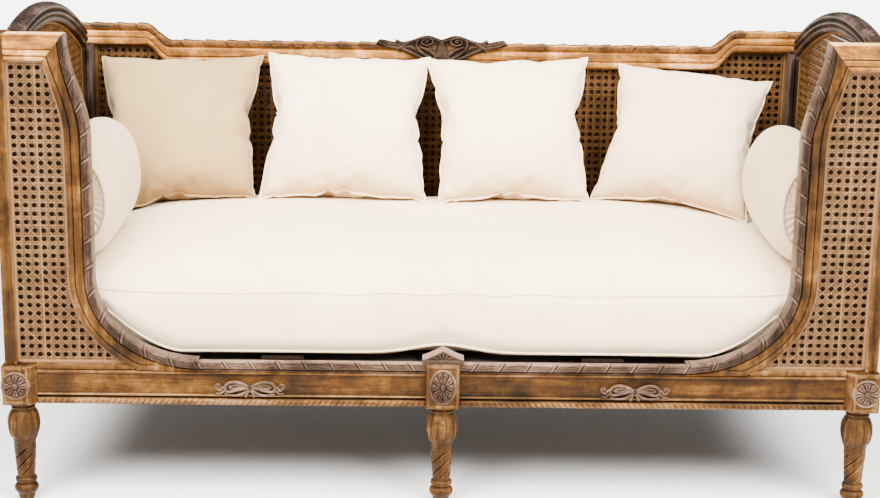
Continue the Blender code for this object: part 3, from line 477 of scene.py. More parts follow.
@dataclass(frozen=True)
class WaxedWood(Finish):
    """Old waxed wood: dark glaze in the grooves, gold on the flats, limed and rubbed on the edges."""

    name: str
    slot: str
    grain: Grain
    groove: Colour
    shade: Colour
    body: Colour
    gold: Colour
    rubbed: Colour
    lift: float = 0.0

    def mixed(self) -> Material:
        """Colour from the wear layer, stirred by blotches and by streaks along the grain."""
        mix = Recipe(self.name)
        plain = mix.place()
        along = mix.place([52.0 * way for way in self.grain.value])
        streak = mix.noise(along, 1.0, 6.0, 0.62, 0.7)
        pores = mix.noise(mix.place([210.0 * way for way in self.grain.value]), 1.0, 3.0, 0.7)
        blotch = mix.noise(plain, 11.0, 5.0, 0.62, 0.4)
        flecks = mix.noise(plain, 90.0, 3.0, 0.7)
        wear = mix.wear()
        level = mix.sum("ADD", wear, mix.swing(blotch, -0.72 + self.lift, 0.72 + self.lift))
        level = mix.sum("ADD", level, mix.swing(streak, -0.62, 0.62))
        level = mix.sum("ADD", level, mix.swing(flecks, -0.22, 0.22))
        stops = [
            (0.02, self.groove), (0.24, self.shade), (0.5, self.body), (0.72, self.gold),
            (0.97, self.rubbed)
        ]
        tint = mix.ramp(level, stops)
        pore_shade = mix.ramp(pores, [(0.34, (0.52, 0.45, 0.4)), (0.52, WHITE)])
        tint = mix.blend("MULTIPLY", 0.55, tint, pore_shade)
        rough = mix.sum("ADD", mix.swing(blotch, 0.36, 0.62), mix.swing(wear, 0.10, -0.08))
        fine = mix.bump(pores, 0.22, 0.0006)
        carved = mix.bump(mix.sum("ADD", streak, mix.sum("MULTIPLY", flecks, 0.6)), 0.30, 0.0012, fine)
        return mix.dress(
            Base_Color=tint, Roughness=rough, Normal=carved, Specular_IOR_Level=0.10,
            Specular_Tint=(1.0, 0.86, 0.66)
        )


@dataclass(frozen=True)
class SawnWood(Finish):
    """Bare sawn wood of the hidden deck; its tones are set near black as painted shade."""

    name: str
    slot: str
    light: Colour
    dark: Colour

    def mixed(self) -> Material:
        """Wood with long streaks and saw marks, between its light and its dark tone."""
        mix = Recipe(self.name)
        streak = mix.noise(mix.place((3.0, 60.0, 60.0)), 1.0, 5.0, 0.6, 0.6)
        marks = mix.noise(mix.place((260.0, 6.0, 6.0)), 1.0, 2.0)
        tint = mix.ramp(streak, [(0.25, self.dark), (0.7, self.light)])
        return mix.dress(
            Base_Color=tint, Roughness=mix.swing(streak, 0.62, 0.82), Normal=mix.bump(marks, 0.3, 0.0006),
            Specular_IOR_Level=0.06
        )


@dataclass(frozen=True)
class WovenCane(Finish):
    """Split cane: a tone for each strand, darker blotches with age and a faint skin gloss."""

    name: str
    slot: str
    pale: Colour
    middle: Colour
    aged: Colour

    def mixed(self) -> Material:
        """Colour from the strand's own tone, stirred by noise; fine fibre lines as relief."""
        mix = Recipe(self.name)
        plain = mix.place()
        tone = mix.wear()
        cloud = mix.noise(plain, 7.0, 5.0, 0.65)
        fibre = mix.noise(plain, 420.0, 2.0, 0.6)
        level = mix.sum("ADD", mix.swing(tone, 0.18, 0.62), mix.swing(cloud, -0.34, 0.40))
        tint = mix.ramp(level, [(0.08, self.aged), (0.45, self.middle), (0.85, self.pale)])
        tint = mix.blend("MULTIPLY", 0.5, tint, mix.ramp(fibre, [(0.3, (0.6, 0.55, 0.5)), (0.6, WHITE)]))
        return mix.dress(
            Base_Color=tint, Roughness=mix.swing(cloud, 0.42, 0.62), Normal=mix.bump(fibre, 0.25, 0.0005),
            Specular_IOR_Level=0.12, Specular_Tint=(1.0, 0.88, 0.7)
        )


@dataclass(frozen=True)
class BrushedLinen(Finish):
    """Cream brushed linen: fine plain weave, slubs, a soft nap and faint clouding."""

    name: str
    slot: str
    light: Colour
    deep: Colour
    thread: float = 0.0011

    def mixed(self) -> Material:
        """Two wave bands make the weave on the cloth's own map; clouds of nap tint it; the mesh layer adds
        painted shade where it is below 0.48.
        """
        mix = Recipe(self.name)
        cloth = mix.place(output="UV")
        solid = mix.place()
        pitch = 1.0 / self.thread / 20.0 * math.pi
        bands = {"wave_type": "BANDS", "wave_profile": "SIN"}
        size = {"Vector": cloth, "Scale": pitch * 2.0, "Distortion": 0.6, "Detail": 1.0}
        warp, weft = (
            mix.node("ShaderNodeTexWave", {**bands, "bands_direction": way}, "Fac", **size) for way in "XY"
        )
        weave = mix.sum("MAXIMUM", warp, weft)
        slub = mix.noise(mix.place((9.0, 260.0, 1.0), "UV"), 1.0, 3.0, 0.6)
        nap = mix.noise(solid, 5.5, 5.0, 0.58, 0.5)
        crumple = mix.noise(solid, 21.0, 4.0, 0.55, 0.8)
        tint = mix.ramp(
            mix.sum("ADD", mix.swing(nap, 0.0, 0.7), mix.swing(slub, 0.0, 0.3)),
            [(0.28, self.deep), (0.66, self.light)]
        )
        tint = mix.blend("MULTIPLY", 0.10, tint, mix.ramp(weave, [(0.2, (0.6, 0.56, 0.5)), (0.9, WHITE)]))
        # Painted shade: the pillows' seams and lower edges are multiplied towards tan where the layer falls
        # below 0.48.
        painted_shade = mix.wear()
        tint = mix.blend("MULTIPLY", 1.0, tint, mix.ramp(painted_shade, [(0.0, (0.60, 0.48, 0.32)), (0.48, WHITE)]))
        soft = mix.bump(crumple, 0.34, 0.005)
        close = mix.bump(mix.sum("ADD", weave, slub), 0.12, 0.0004, soft)
        return mix.dress(
            Base_Color=tint, Roughness=mix.swing(nap, 0.82, 0.94), Normal=close, Sheen_Weight=0.28,
            Sheen_Roughness=0.45, Sheen_Tint=(1.0, 0.97, 0.92), Specular_IOR_Level=0.25
        )


@dataclass(frozen=True)
class StudioFloor(Finish):
    """Matt white studio floor that brightens into the lit background far from the settee."""

    name: str
    tint: Colour
    glow: float = 6.2
    near: float = 3.2
    far: float = 6.2

    def mixed(self) -> Material:
        """Almost even white; a smooth step of the distance from the middle sets the glow."""
        mix = Recipe(self.name)
        cloud = mix.noise(mix.place(), 1.3, 3.0)
        dim = tuple(0.985 * part for part in self.tint)
        away = mix.node("ShaderNodeVectorMath", {"operation": "LENGTH"}, "Value", i0=mix.place())
        glow = mix.node(
            "ShaderNodeMapRange", {"interpolation_type": "SMOOTHSTEP"}, Value=away, From_Min=self.near,
            From_Max=self.far, To_Max=self.glow
        )
        return mix.dress(
            Base_Color=mix.ramp(cloud, [(0.3, dim), (0.7, self.tint)]), Roughness=0.55,
            Specular_IOR_Level=0.2, Emission_Color=(1.0, 0.970, 0.935), Emission_Strength=glow
        )


GOLD_TONES = {
    "groove": (0.0040, 0.0018, 0.0008), "shade": (0.015, 0.0062, 0.0019), "body": (0.0385, 0.0148, 0.0029),
    "gold": (0.084, 0.0340, 0.0065), "rubbed": (0.172, 0.0900, 0.0360),
}
# Darker wood of the arms, back posts, rear rails, back sill and rear legs, set darker still as painted shade
# for the arms and corners that lie in shade.
DARK_AND_SHADED_TONES = {
    "groove": (0.0016, 0.0010, 0.0007), "shade": (0.0045, 0.0027, 0.0019), "body": (0.0105, 0.0062, 0.0043),
    "gold": (0.020, 0.0122, 0.0087), "rubbed": (0.062, 0.0410, 0.0310),
}
LIMED_TONES = {
    "groove": (0.0040, 0.0024, 0.0015), "shade": (0.014, 0.0076, 0.0047), "body": (0.035, 0.0190, 0.0118),
    "gold": (0.070, 0.0400, 0.0260), "rubbed": (0.165, 0.1020, 0.0720),
}


def toned(tones: dict[str, Colour], share: float) -> dict[str, Colour]:
    """The same tones, all brighter or darker by a share."""
    return {key: (share * red, share * green, share * blue) for key, (red, green, blue) in tones.items()}


GOLD_ALONG = WaxedWood("waxed_gold_along", "carved_wood", Grain.ALONG, **GOLD_TONES)
GOLD_UPRIGHT = WaxedWood("waxed_gold_upright", "carved_wood", Grain.UPRIGHT, **GOLD_TONES)
GOLD_TURNED = WaxedWood("waxed_gold_turned", "carved_wood", Grain.UPRIGHT, **toned(GOLD_TONES, 0.82))
# A lit copy of the gold, 3.8 times as light, for the crest and the wings' top rails: painted highlight from
# the light above.
GOLD_PAINTED_HIGHLIGHT = WaxedWood("waxed_gold_painted_highlight", "carved_wood", Grain.ALONG, **toned(GOLD_TONES, 3.8), lift=0.07)
LIMED_CARVING = WaxedWood("limed_carving", "carved_wood", Grain.ALONG, **LIMED_TONES, lift=0.02)
LIMED_RIBBON = WaxedWood("limed_ribbon", "carved_wood", Grain.UPRIGHT, **toned(LIMED_TONES, 0.60))
SMOKED_CARVING = WaxedWood("smoked_carving", "carved_wood", Grain.ALONG, **toned(LIMED_TONES, 0.62))
DARK_ALONG = WaxedWood("dark_waxed_along", "dark_wood", Grain.ALONG, **DARK_AND_SHADED_TONES)
DARK_DEEP = WaxedWood("dark_waxed_deep", "dark_wood", Grain.DEEP, **DARK_AND_SHADED_TONES)
DARK_UPRIGHT = WaxedWood("dark_waxed_upright", "dark_wood", Grain.UPRIGHT, **DARK_AND_SHADED_TONES)
# Near-black tones for the deck: painted shade, for the dark seen in the gaps under the cushion.
DECK_WOOD_SHADED = SawnWood("sawn_deck_painted_shade", "raw_wood", (0.010, 0.0060, 0.0032), (0.005, 0.003, 0.0016))
PALE_CANE = WovenCane(
    "cane_pale", "cane", (0.215, 0.112, 0.050), (0.105, 0.051, 0.020), (0.030, 0.014, 0.006)
)
# Gold cane of the arms and the back: its own gold tone, set darker than the wings' cane partly as painted
# shade for the shaded arms and corners.
GOLD_CANE_PARTLY_SHADED = WovenCane(
    "cane_gold_partly_painted_shade", "cane", (0.17, 0.080, 0.024), (0.080, 0.036, 0.0105), (0.022, 0.010, 0.0036)
)
# Near-black cane for the second sheets behind the front weave: painted shade, for the dark seen through the
# holes.
LINING_CANE_SHADE = WovenCane(
    "cane_lining_painted_shade", "cane", (0.020, 0.010, 0.004), (0.012, 0.006, 0.0025), (0.006, 0.003, 0.0013)
)
CREAM_LINEN = BrushedLinen("linen_cream", "linen", (0.87, 0.69, 0.455), (0.80, 0.61, 0.385))
# A darker copy of the cream linen for the far right pillow: painted shade.
CREAM_LINEN_SHADED = BrushedLinen("linen_cream_painted_shade", "linen", (0.74, 0.560, 0.365), (0.67, 0.495, 0.310))
SAND_LINEN = BrushedLinen("linen_sand", "linen", (0.375, 0.238, 0.098), (0.305, 0.187, 0.073))
# A darker copy of the cream linen for the bolsters: painted shade, for the shade that the wings cast on them.
BOLSTER_LINEN_SHADED = BrushedLinen("linen_bolster_painted_shade", "linen", (0.57, 0.410, 0.237), (0.51, 0.360, 0.200))
# A near-black sheet under the cushion: painted shade, for the dark gap between the cushion and the front
# rail.
DECK_SHADE_SHEET = BrushedLinen("deck_sheet_painted_shade", "linen", (0.030, 0.021, 0.014), (0.020, 0.014, 0.009))


def put(
    name: str, skin: Skin, finish: Finish, body: str, nodes: Sequence[str] = (), sharp: float = CRISP
) -> bpy.types.Object:
    """Turn a surface into a piece that rides on a body.

    Args:
        name: Name of the piece.
        skin: Its surface.
        finish: Its finish.
        body: The body it rides on.
        nodes: Nodes of the part that it stands for.
        sharp: Angle in degrees past which an edge stays crisp.

    Returns:
        The piece.
    """
    mesh = bpy.data.meshes.new(name)
    mesh.vertices.add(len(skin.points))
    mesh.vertices.foreach_set("co", skin.points.astype(np.float32).ravel())
    mesh.loops.add(len(skin.corners))
    mesh.loops.foreach_set("vertex_index", skin.corners.astype(np.int32))
    mesh.polygons.add(len(skin.counts))
    starts = np.concatenate([[0], np.cumsum(skin.counts)[:-1]])
    mesh.polygons.foreach_set("loop_start", starts.astype(np.int32))
    mesh.polygons.foreach_set("use_smooth", np.ones(len(skin.counts), dtype=bool))
    mesh.update(calc_edges=True)
    mesh.attributes.new("wear", "FLOAT", "POINT").data.foreach_set("value", skin.wear.astype(np.float32))
    mesh.uv_layers.new(name="cloth").data.foreach_set("uv", skin.uv.astype(np.float32).ravel())
    mesh.validate()
    mesh.set_sharp_from_angle(angle=math.radians(sharp))
    piece = bpy.data.objects.new(name, mesh)
    bpy.context.scene.collection.objects.link(piece)
    mesh.materials.append(finish.material())
    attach(piece, body)
    if nodes:
        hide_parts(*nodes)
    LOG.info("%s: %d faces on %s", name, len(skin.counts), body)
    return piece


def fixed(name: str, skin: Skin, finish: Finish, *nodes: str) -> bpy.types.Object:
    """Put a piece on the frame's body, in place of these nodes of the part."""
    return put(name, skin, finish, FRAME_BODY, nodes)


@dataclass(frozen=True)
class Plan:
    """Places that several pieces share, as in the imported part."""

    leg_x: float = 0.900
    rail_foot: float = 0.222
    rail_top: float = 0.300
    border_top: float = 0.3223
    front_y: float = -0.40335
    block_y: float = -0.41335
    rear_y: float = 0.42165
    crest_y: float = 0.37665
    wing_top: float = 1.012
    wing_outer: float = 0.930
    post_inner: float = 0.904
    panel_foot: float = 0.3003
    panel_sill: float = 0.3353
    inner_half: float = 0.863
    centre_side: float = 0.0363
    corner_side: float = 0.8637
    front_leg_y: float = -0.37735
    rear_leg_x: float = 0.886
    rear_leg_y: float = 0.39165
    rear_bulb: float = 0.029
    binder_foot: float = 0.338


PLAN = Plan()


@dataclass
class Leg:
    """A turned leg with its square block; the front ones are carved."""

    node: str
    x: float
    y: float
    block_y: float
    block_width: float
    block_depth: float
    block_top: float
    carved: bool = True
    inner_side: int = 0
    bulb: float = 0.0355
    flutes: int = 5
    leaves: int = 4
    twist: float = math.radians(195.0)
    chamfer: float = 0.014

    def outline(self) -> tuple[Array, Array]:
        """Heights up the leg and the turned radius at each, before carving."""
        shaft, ankle, foot, bulb = 0.0235, 0.0185, 0.0180, self.bulb
        turned = np.array([
            (0.0, foot * 0.86), (0.0015, foot * 0.92), (0.010, foot), (0.013, ankle),
            (0.017, ankle + 0.0040), (0.022, ankle + 0.0070), (0.0265, ankle + 0.0077),
            (0.031, ankle + 0.0066), (0.0352, ankle + 0.0022), (0.0372, ankle), (0.0386, ankle),
            (0.0398, ankle + 0.0038), (0.0425, ankle + 0.0048), (0.0475, ankle + 0.0048),
            (0.0498, ankle + 0.0038), (0.0512, ankle + 0.0006), (0.054, ankle + 0.0003), (0.124, shaft),
            (0.130, shaft * 1.01), (0.140, bulb * 0.74), (0.150, bulb * 0.86), (0.160, bulb * 0.95),
            (0.172, bulb), (0.182, bulb * 0.985), (0.192, bulb * 0.91), (0.200, bulb * 0.80),
            (0.2045, shaft * 1.06), (0.2062, shaft * 1.0), (0.2078, shaft * 1.05), (0.2100, shaft * 1.12),
            (0.2125, shaft * 1.06), (0.2140, shaft * 0.98), (0.2180, shaft * 1.02), (0.2230, shaft * 1.16),
        ])
        height = np.linspace(0.0, 0.2230, 224)
        radius = np.interp(height, turned[:, 0], turned[:, 1])
        padded = np.pad(radius, 1, mode="edge")
        return height, (padded[:-2] + 2.0 * padded[1:-1] + padded[2:]) / 4.0

    def carving(self, turn: Array, height: Array) -> Array:
        """Relief of the leaves on the bulb and of the flutes that wind up the shaft.

        A leaf is a broad lobe whose half width follows a full curve to its round tip, with a raised rim and
        two hollows. A flute is a bell-shaped cut along a line that turns evenly with height.
        """
        down = (0.206 - height) / 0.076
        across = np.mod((turn + math.pi / 2.0) * self.leaves / FULL_TURN + 0.5, 1.0) * 2.0 - 1.0
        half = 0.92 * np.sqrt(1.0 - np.clip((down - 0.44) / 0.46, 0.0, 1.0) ** 2.6)
        leaf = ease((half - np.abs(across)) / 0.14) * ease(down / 0.06) * ease((0.93 - down) / 0.04)
        rim = bell(np.abs(across) - half + 0.16, 0.085)
        hollow = bell(np.abs(across) - 0.34, 0.13) * ease((down - 0.10) / 0.12) * ease((0.74 - down) / 0.16)
        lip = 0.0008 * ease((down - 0.90) / 0.03) * ease((1.02 - down) / 0.05)
        ground = 0.0014 * ease(down / 0.05) * ease((1.05 - down) / 0.08)
        relief = leaf * (0.0012 + 0.0014 * rim - 0.0022 * hollow) - ground + lip
        window = ease((height - 0.0555) / 0.008) * ease((0.1235 - height) / 0.009)
        wound = turn - self.twist * (height - 0.056) / 0.068
        gap = np.mod(wound * self.flutes / FULL_TURN, 1.0) - 0.5
        return relief - 0.0046 * window * bell(gap, 0.075) + 0.0007 * window * bell(np.abs(gap) - 0.17, 0.06)

    def build(self) -> None:
        """Turned leg, block and, on carved legs, the raised frame round the block's face."""
        height, radius = self.outline()
        turn = np.linspace(-math.pi, math.pi, 160, endpoint=False)
        grid_turn, grid_height = np.meshgrid(turn, height)
        size = np.broadcast_to(radius[:, None], grid_turn.shape)
        if self.carved:
            size = size + self.carving(grid_turn, grid_height)
        rings = grid(self.x + size * np.cos(grid_turn), self.y + size * np.sin(grid_turn), grid_height)
        finish = GOLD_TURNED if self.carved else DARK_UPRIGHT
        fixed("turned_" + self.node, loft(rings, reach=0.0005), finish, self.node)
        w, d, cut = self.block_width / 2.0, self.block_depth / 2.0, self.chamfer
        square = [(-w, -d), (w, -d), (w, d), (-w, d)]
        if self.inner_side > 0:
            square = [(-w, -d), (w - cut, -d), (w, -d + cut), (w, d), (-w, d)]
        elif self.inner_side < 0:
            square = [(-w + cut, -d), (w, -d), (w, d), (-w, d), (-w, -d + cut)]
        plan = rounded(np.array(square) + (self.x, self.block_y), 0.0022)
        levels = np.array([PLAN.rail_foot, PLAN.rail_foot + 0.006, self.block_top - 0.006, self.block_top])
        skin = bar(plan, levels, 2, 0.0022)
        if self.carved:
            skin = skin + self.face_frame()
        fixed("block_" + self.node, skin, finish)

    def face_frame(self) -> Skin:
        """A small raised rim round the front of the block, run along a rounded rectangle."""
        left, right = self.x - self.block_width / 2.0 + 0.0048, self.x + self.block_width / 2.0 - 0.0048
        left += self.chamfer if self.inner_side < 0 else 0.0
        right -= self.chamfer if self.inner_side > 0 else 0.0
        low, high = PLAN.rail_foot + 0.0065, self.block_top - 0.0065
        loop = rounded(np.array([(left, low), (right, low), (right, high), (left, high)]), 0.003, 4)
        face = self.block_y - self.block_depth / 2.0
        path = grid(loop[:, 0], face + 0.0004, loop[:, 1])
        return tube(path, 0.0030, 8, 0.9, True)


@dataclass
class Rosette:
    """A carved flower on a block, in a sunk ring."""

    node: str
    x: float
    z: float
    half_width: float
    half_height: float
    face: float = PLAN.block_y
    petals: int = 8
    relief: float = 0.0078

    def flower(self) -> Skin:
        """Height over a polar grid: petals swell between a boss and a scalloped rim."""
        out = np.concatenate([[1.0, 1.0], np.linspace(1.0, 0.02, 40)])
        turn = round_turn(128) + 0.001
        grid_turn, grid_out = np.meshgrid(turn, out)
        lobe = np.abs(np.cos(self.petals * grid_turn / 2.0))
        reach = 0.84 + 0.16 * lobe**0.6
        swell = np.sin(math.pi * np.clip((grid_out - 0.22) / 0.82, 0.0, 1.0)) ** 0.6
        aside = np.abs(np.mod(grid_turn * self.petals / FULL_TURN + 0.5, 1.0) - 0.5)
        cup = bell(aside, 0.17) * bell(grid_out - 0.62, 0.20)
        height = self.relief * (0.08 * (1.0 - grid_out**4) + 0.80 * lobe**0.55 * swell - 0.50 * cup)
        height += self.relief * (0.86 * ease((0.27 - grid_out) / 0.10) - 0.20 * bell(grid_out, 0.08))
        height[0] = -0.0012
        size_x, size_z = self.half_width * reach * grid_out, self.half_height * reach * grid_out
        rings = grid(
            self.x + size_x * np.cos(grid_turn), self.face - height, self.z + size_z * np.sin(grid_turn)
        )
        return loft(rings, reach=0.0004)

    def build(self) -> None:
        """The flower, with a bead run round it on an ellipse."""
        turn = round_turn(96)
        ring = grid(
            self.x + (self.half_width + 0.0036) * np.cos(turn), self.face + 0.0006,
            self.z + (self.half_height + 0.0036) * np.sin(turn)
        )
        fixed(
            "carved_" + self.node, self.flower() + tube(ring, 0.0026, 8, 1.0, True), LIMED_CARVING,
            self.node
        )


BOW_LOOP = [
    (0.003, 0.001), (0.014, 0.009), (0.030, 0.0135), (0.046, 0.011), (0.053, 0.001), (0.047, -0.008),
    (0.030, -0.005), (0.014, -0.001), (0.003, 0.0),
]
BOW_FOLD = [
    (0.004, 0.0005), (0.020, 0.005), (0.036, 0.0055), (0.044, 0.001), (0.034, -0.0015), (0.018, 0.0005),
    (0.004, 0.0005),
]
BOW_TAIL = [
    (0.002, -0.003), (0.010, -0.009), (0.020, -0.014), (0.032, -0.0165), (0.044, -0.0155), (0.054, -0.0125),
]
BOW_KNOT_END = [(0.001, -0.003), (0.005, -0.011), (0.009, -0.017), (0.007, -0.0195)]
BOW_CURL = [
    (0.050, 0.004), (0.058, 0.001), (0.063, -0.005), (0.069, -0.002), (0.0725, 0.0045), (0.068, 0.0085),
    (0.064, 0.005), (0.067, 0.002),
]
BOW_FOOT = [(0.053, -0.004), (0.060, -0.011), (0.067, -0.013), (0.0725, -0.011)]
BOW_STRANDS = (
    (BOW_LOOP, 0.0030, 0.0030, 0.0022), (BOW_FOLD, 0.0024, 0.0024, 0.0004),
    (BOW_TAIL, 0.0032, 0.0018, 0.0014), (BOW_KNOT_END, 0.0028, 0.0020, 0.0020),
    (BOW_CURL, 0.0030, 0.0018, 0.0010), (BOW_FOOT, 0.0026, 0.0016, 0.0006),
)


@dataclass
class Bow:
    """A carved ribbon bow on the front rail: two loops, a knot, tails and fluttering ends."""

    side: Side
    face: float = PLAN.front_y

    def middle(self) -> tuple[float, float]:
        """Place of the knot along and up the rail's face."""
        low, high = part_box("bow_" + self.side.label)
        return (low[0] + high[0]) / 2.0, (low[2] + high[2]) / 2.0

    def strand(self, line: Sequence[tuple[float, float]], start: float, end: float, lift: float) -> Skin:
        """A ribbon: an ellipse carried along a smooth line, tapering between two half widths."""
        x, z = self.middle()
        points = resampled(smooth_line(np.array(line)), 0.0015)
        path = grid(x + points[:, 0], self.face - lift, z + points[:, 1])
        return tube(path, np.linspace(start, end, len(path)), 10, 0.9)

    def build(self) -> None:
        """Both halves as strands, and a petalled knot in the middle."""
        skins = []
        for way in (-1.0, 1.0):
            for line, start, end, lift in BOW_STRANDS:
                skins.append(self.strand([(way * u, v) for u, v in line], start, end, lift))
        skins.append(Rosette("", *self.middle(), 0.0072, 0.0072, self.face, 6, 0.0076).flower())
        fixed("carved_bow_" + self.side.label, joined(skins), LIMED_CARVING, "bow_" + self.side.label)


def smooth_line(points: Array, parts: int = 8) -> Array:
    """Rounded line through points: each stretch is a cubic led by the points on both sides of it."""
    padded = np.concatenate([2 * points[:1] - points[1:2], points, 2 * points[-1:] - points[-2:-1]])
    share = np.linspace(0.0, 1.0, parts, endpoint=False)[None, :, None]
    p0, p1, p2, p3 = (padded[k:len(padded) - 3 + k, None] for k in range(4))
    curve = 2 * p1 + (p2 - p0) * share + (2 * p0 - 5 * p1 + 4 * p2 - p3) * share**2
    curve = 0.5 * (curve + (3 * p1 - p0 - 3 * p2 + p3) * share**3)
    return np.concatenate([curve.reshape(-1, points.shape[1]), points[-1:]])


@dataclass
class FrontRail:
    """Half of the front rail: top bead, flat frieze, fillet, groove and a rope along the foot."""

    side: Side
    start: float = PLAN.centre_side
    end: float = PLAN.corner_side
    rope_period: float = 0.0125
    rope_depth: float = 0.0017

    def section(self) -> Array:
        """Depth behind the face and height above the rail's foot, round the section."""
        return np.array([
            (0.0420, 0.0008), (0.0420, 0.0772), (0.0412, 0.0780), (0.0110, 0.0780), (0.0064, 0.0774),
            (0.0042, 0.0756), (0.0035, 0.0730), (0.0044, 0.0703), (0.0062, 0.0692), (0.0068, 0.0682),
            (0.0066, 0.0640), (0.0064, 0.0560), (0.0063, 0.0480), (0.0063, 0.0400), (0.0064, 0.0320),
            (0.0066, 0.0270), (0.0060, 0.0258), (0.0034, 0.0252), (0.0022, 0.0234), (0.0030, 0.0215),
            (0.0060, 0.0206), (0.0090, 0.0190), (0.0092, 0.0172), (0.0066, 0.0156), (0.0042, 0.0146),
            (0.0020, 0.0127), (0.0006, 0.0098), (0.0005, 0.0066), (0.0016, 0.0037), (0.0038, 0.0016),
            (0.0066, 0.0006), (0.0120, 0.0003),
        ])

    def build(self) -> None:
        """The section carried along x; slanting bell-shaped cuts turn its foot into a rope."""
        plan = self.section()
        along = np.linspace(self.start, self.end, int((self.end - self.start) / 0.0016))
        rope = ease((0.0150 - plan[:, 1]) / 0.002) * ease((0.009 - plan[:, 0]) / 0.004)
        gap = np.mod(along[:, None] / self.rope_period + plan[None, :, 1] / 0.016, 1.0) - 0.5
        cut = self.rope_depth * rope[None] * bell(gap, 0.17)
        depth = plan[None, :, 0] + cut
        height = plan[None, :, 1] + 0.3 * cut
        rings = grid(self.side.value * along[:, None], PLAN.front_y + depth, PLAN.rail_foot + height)
        fixed(
            "moulded_front_rail_" + self.side.label, loft(rings), GOLD_ALONG,
            "front_rail_" + self.side.label
        )


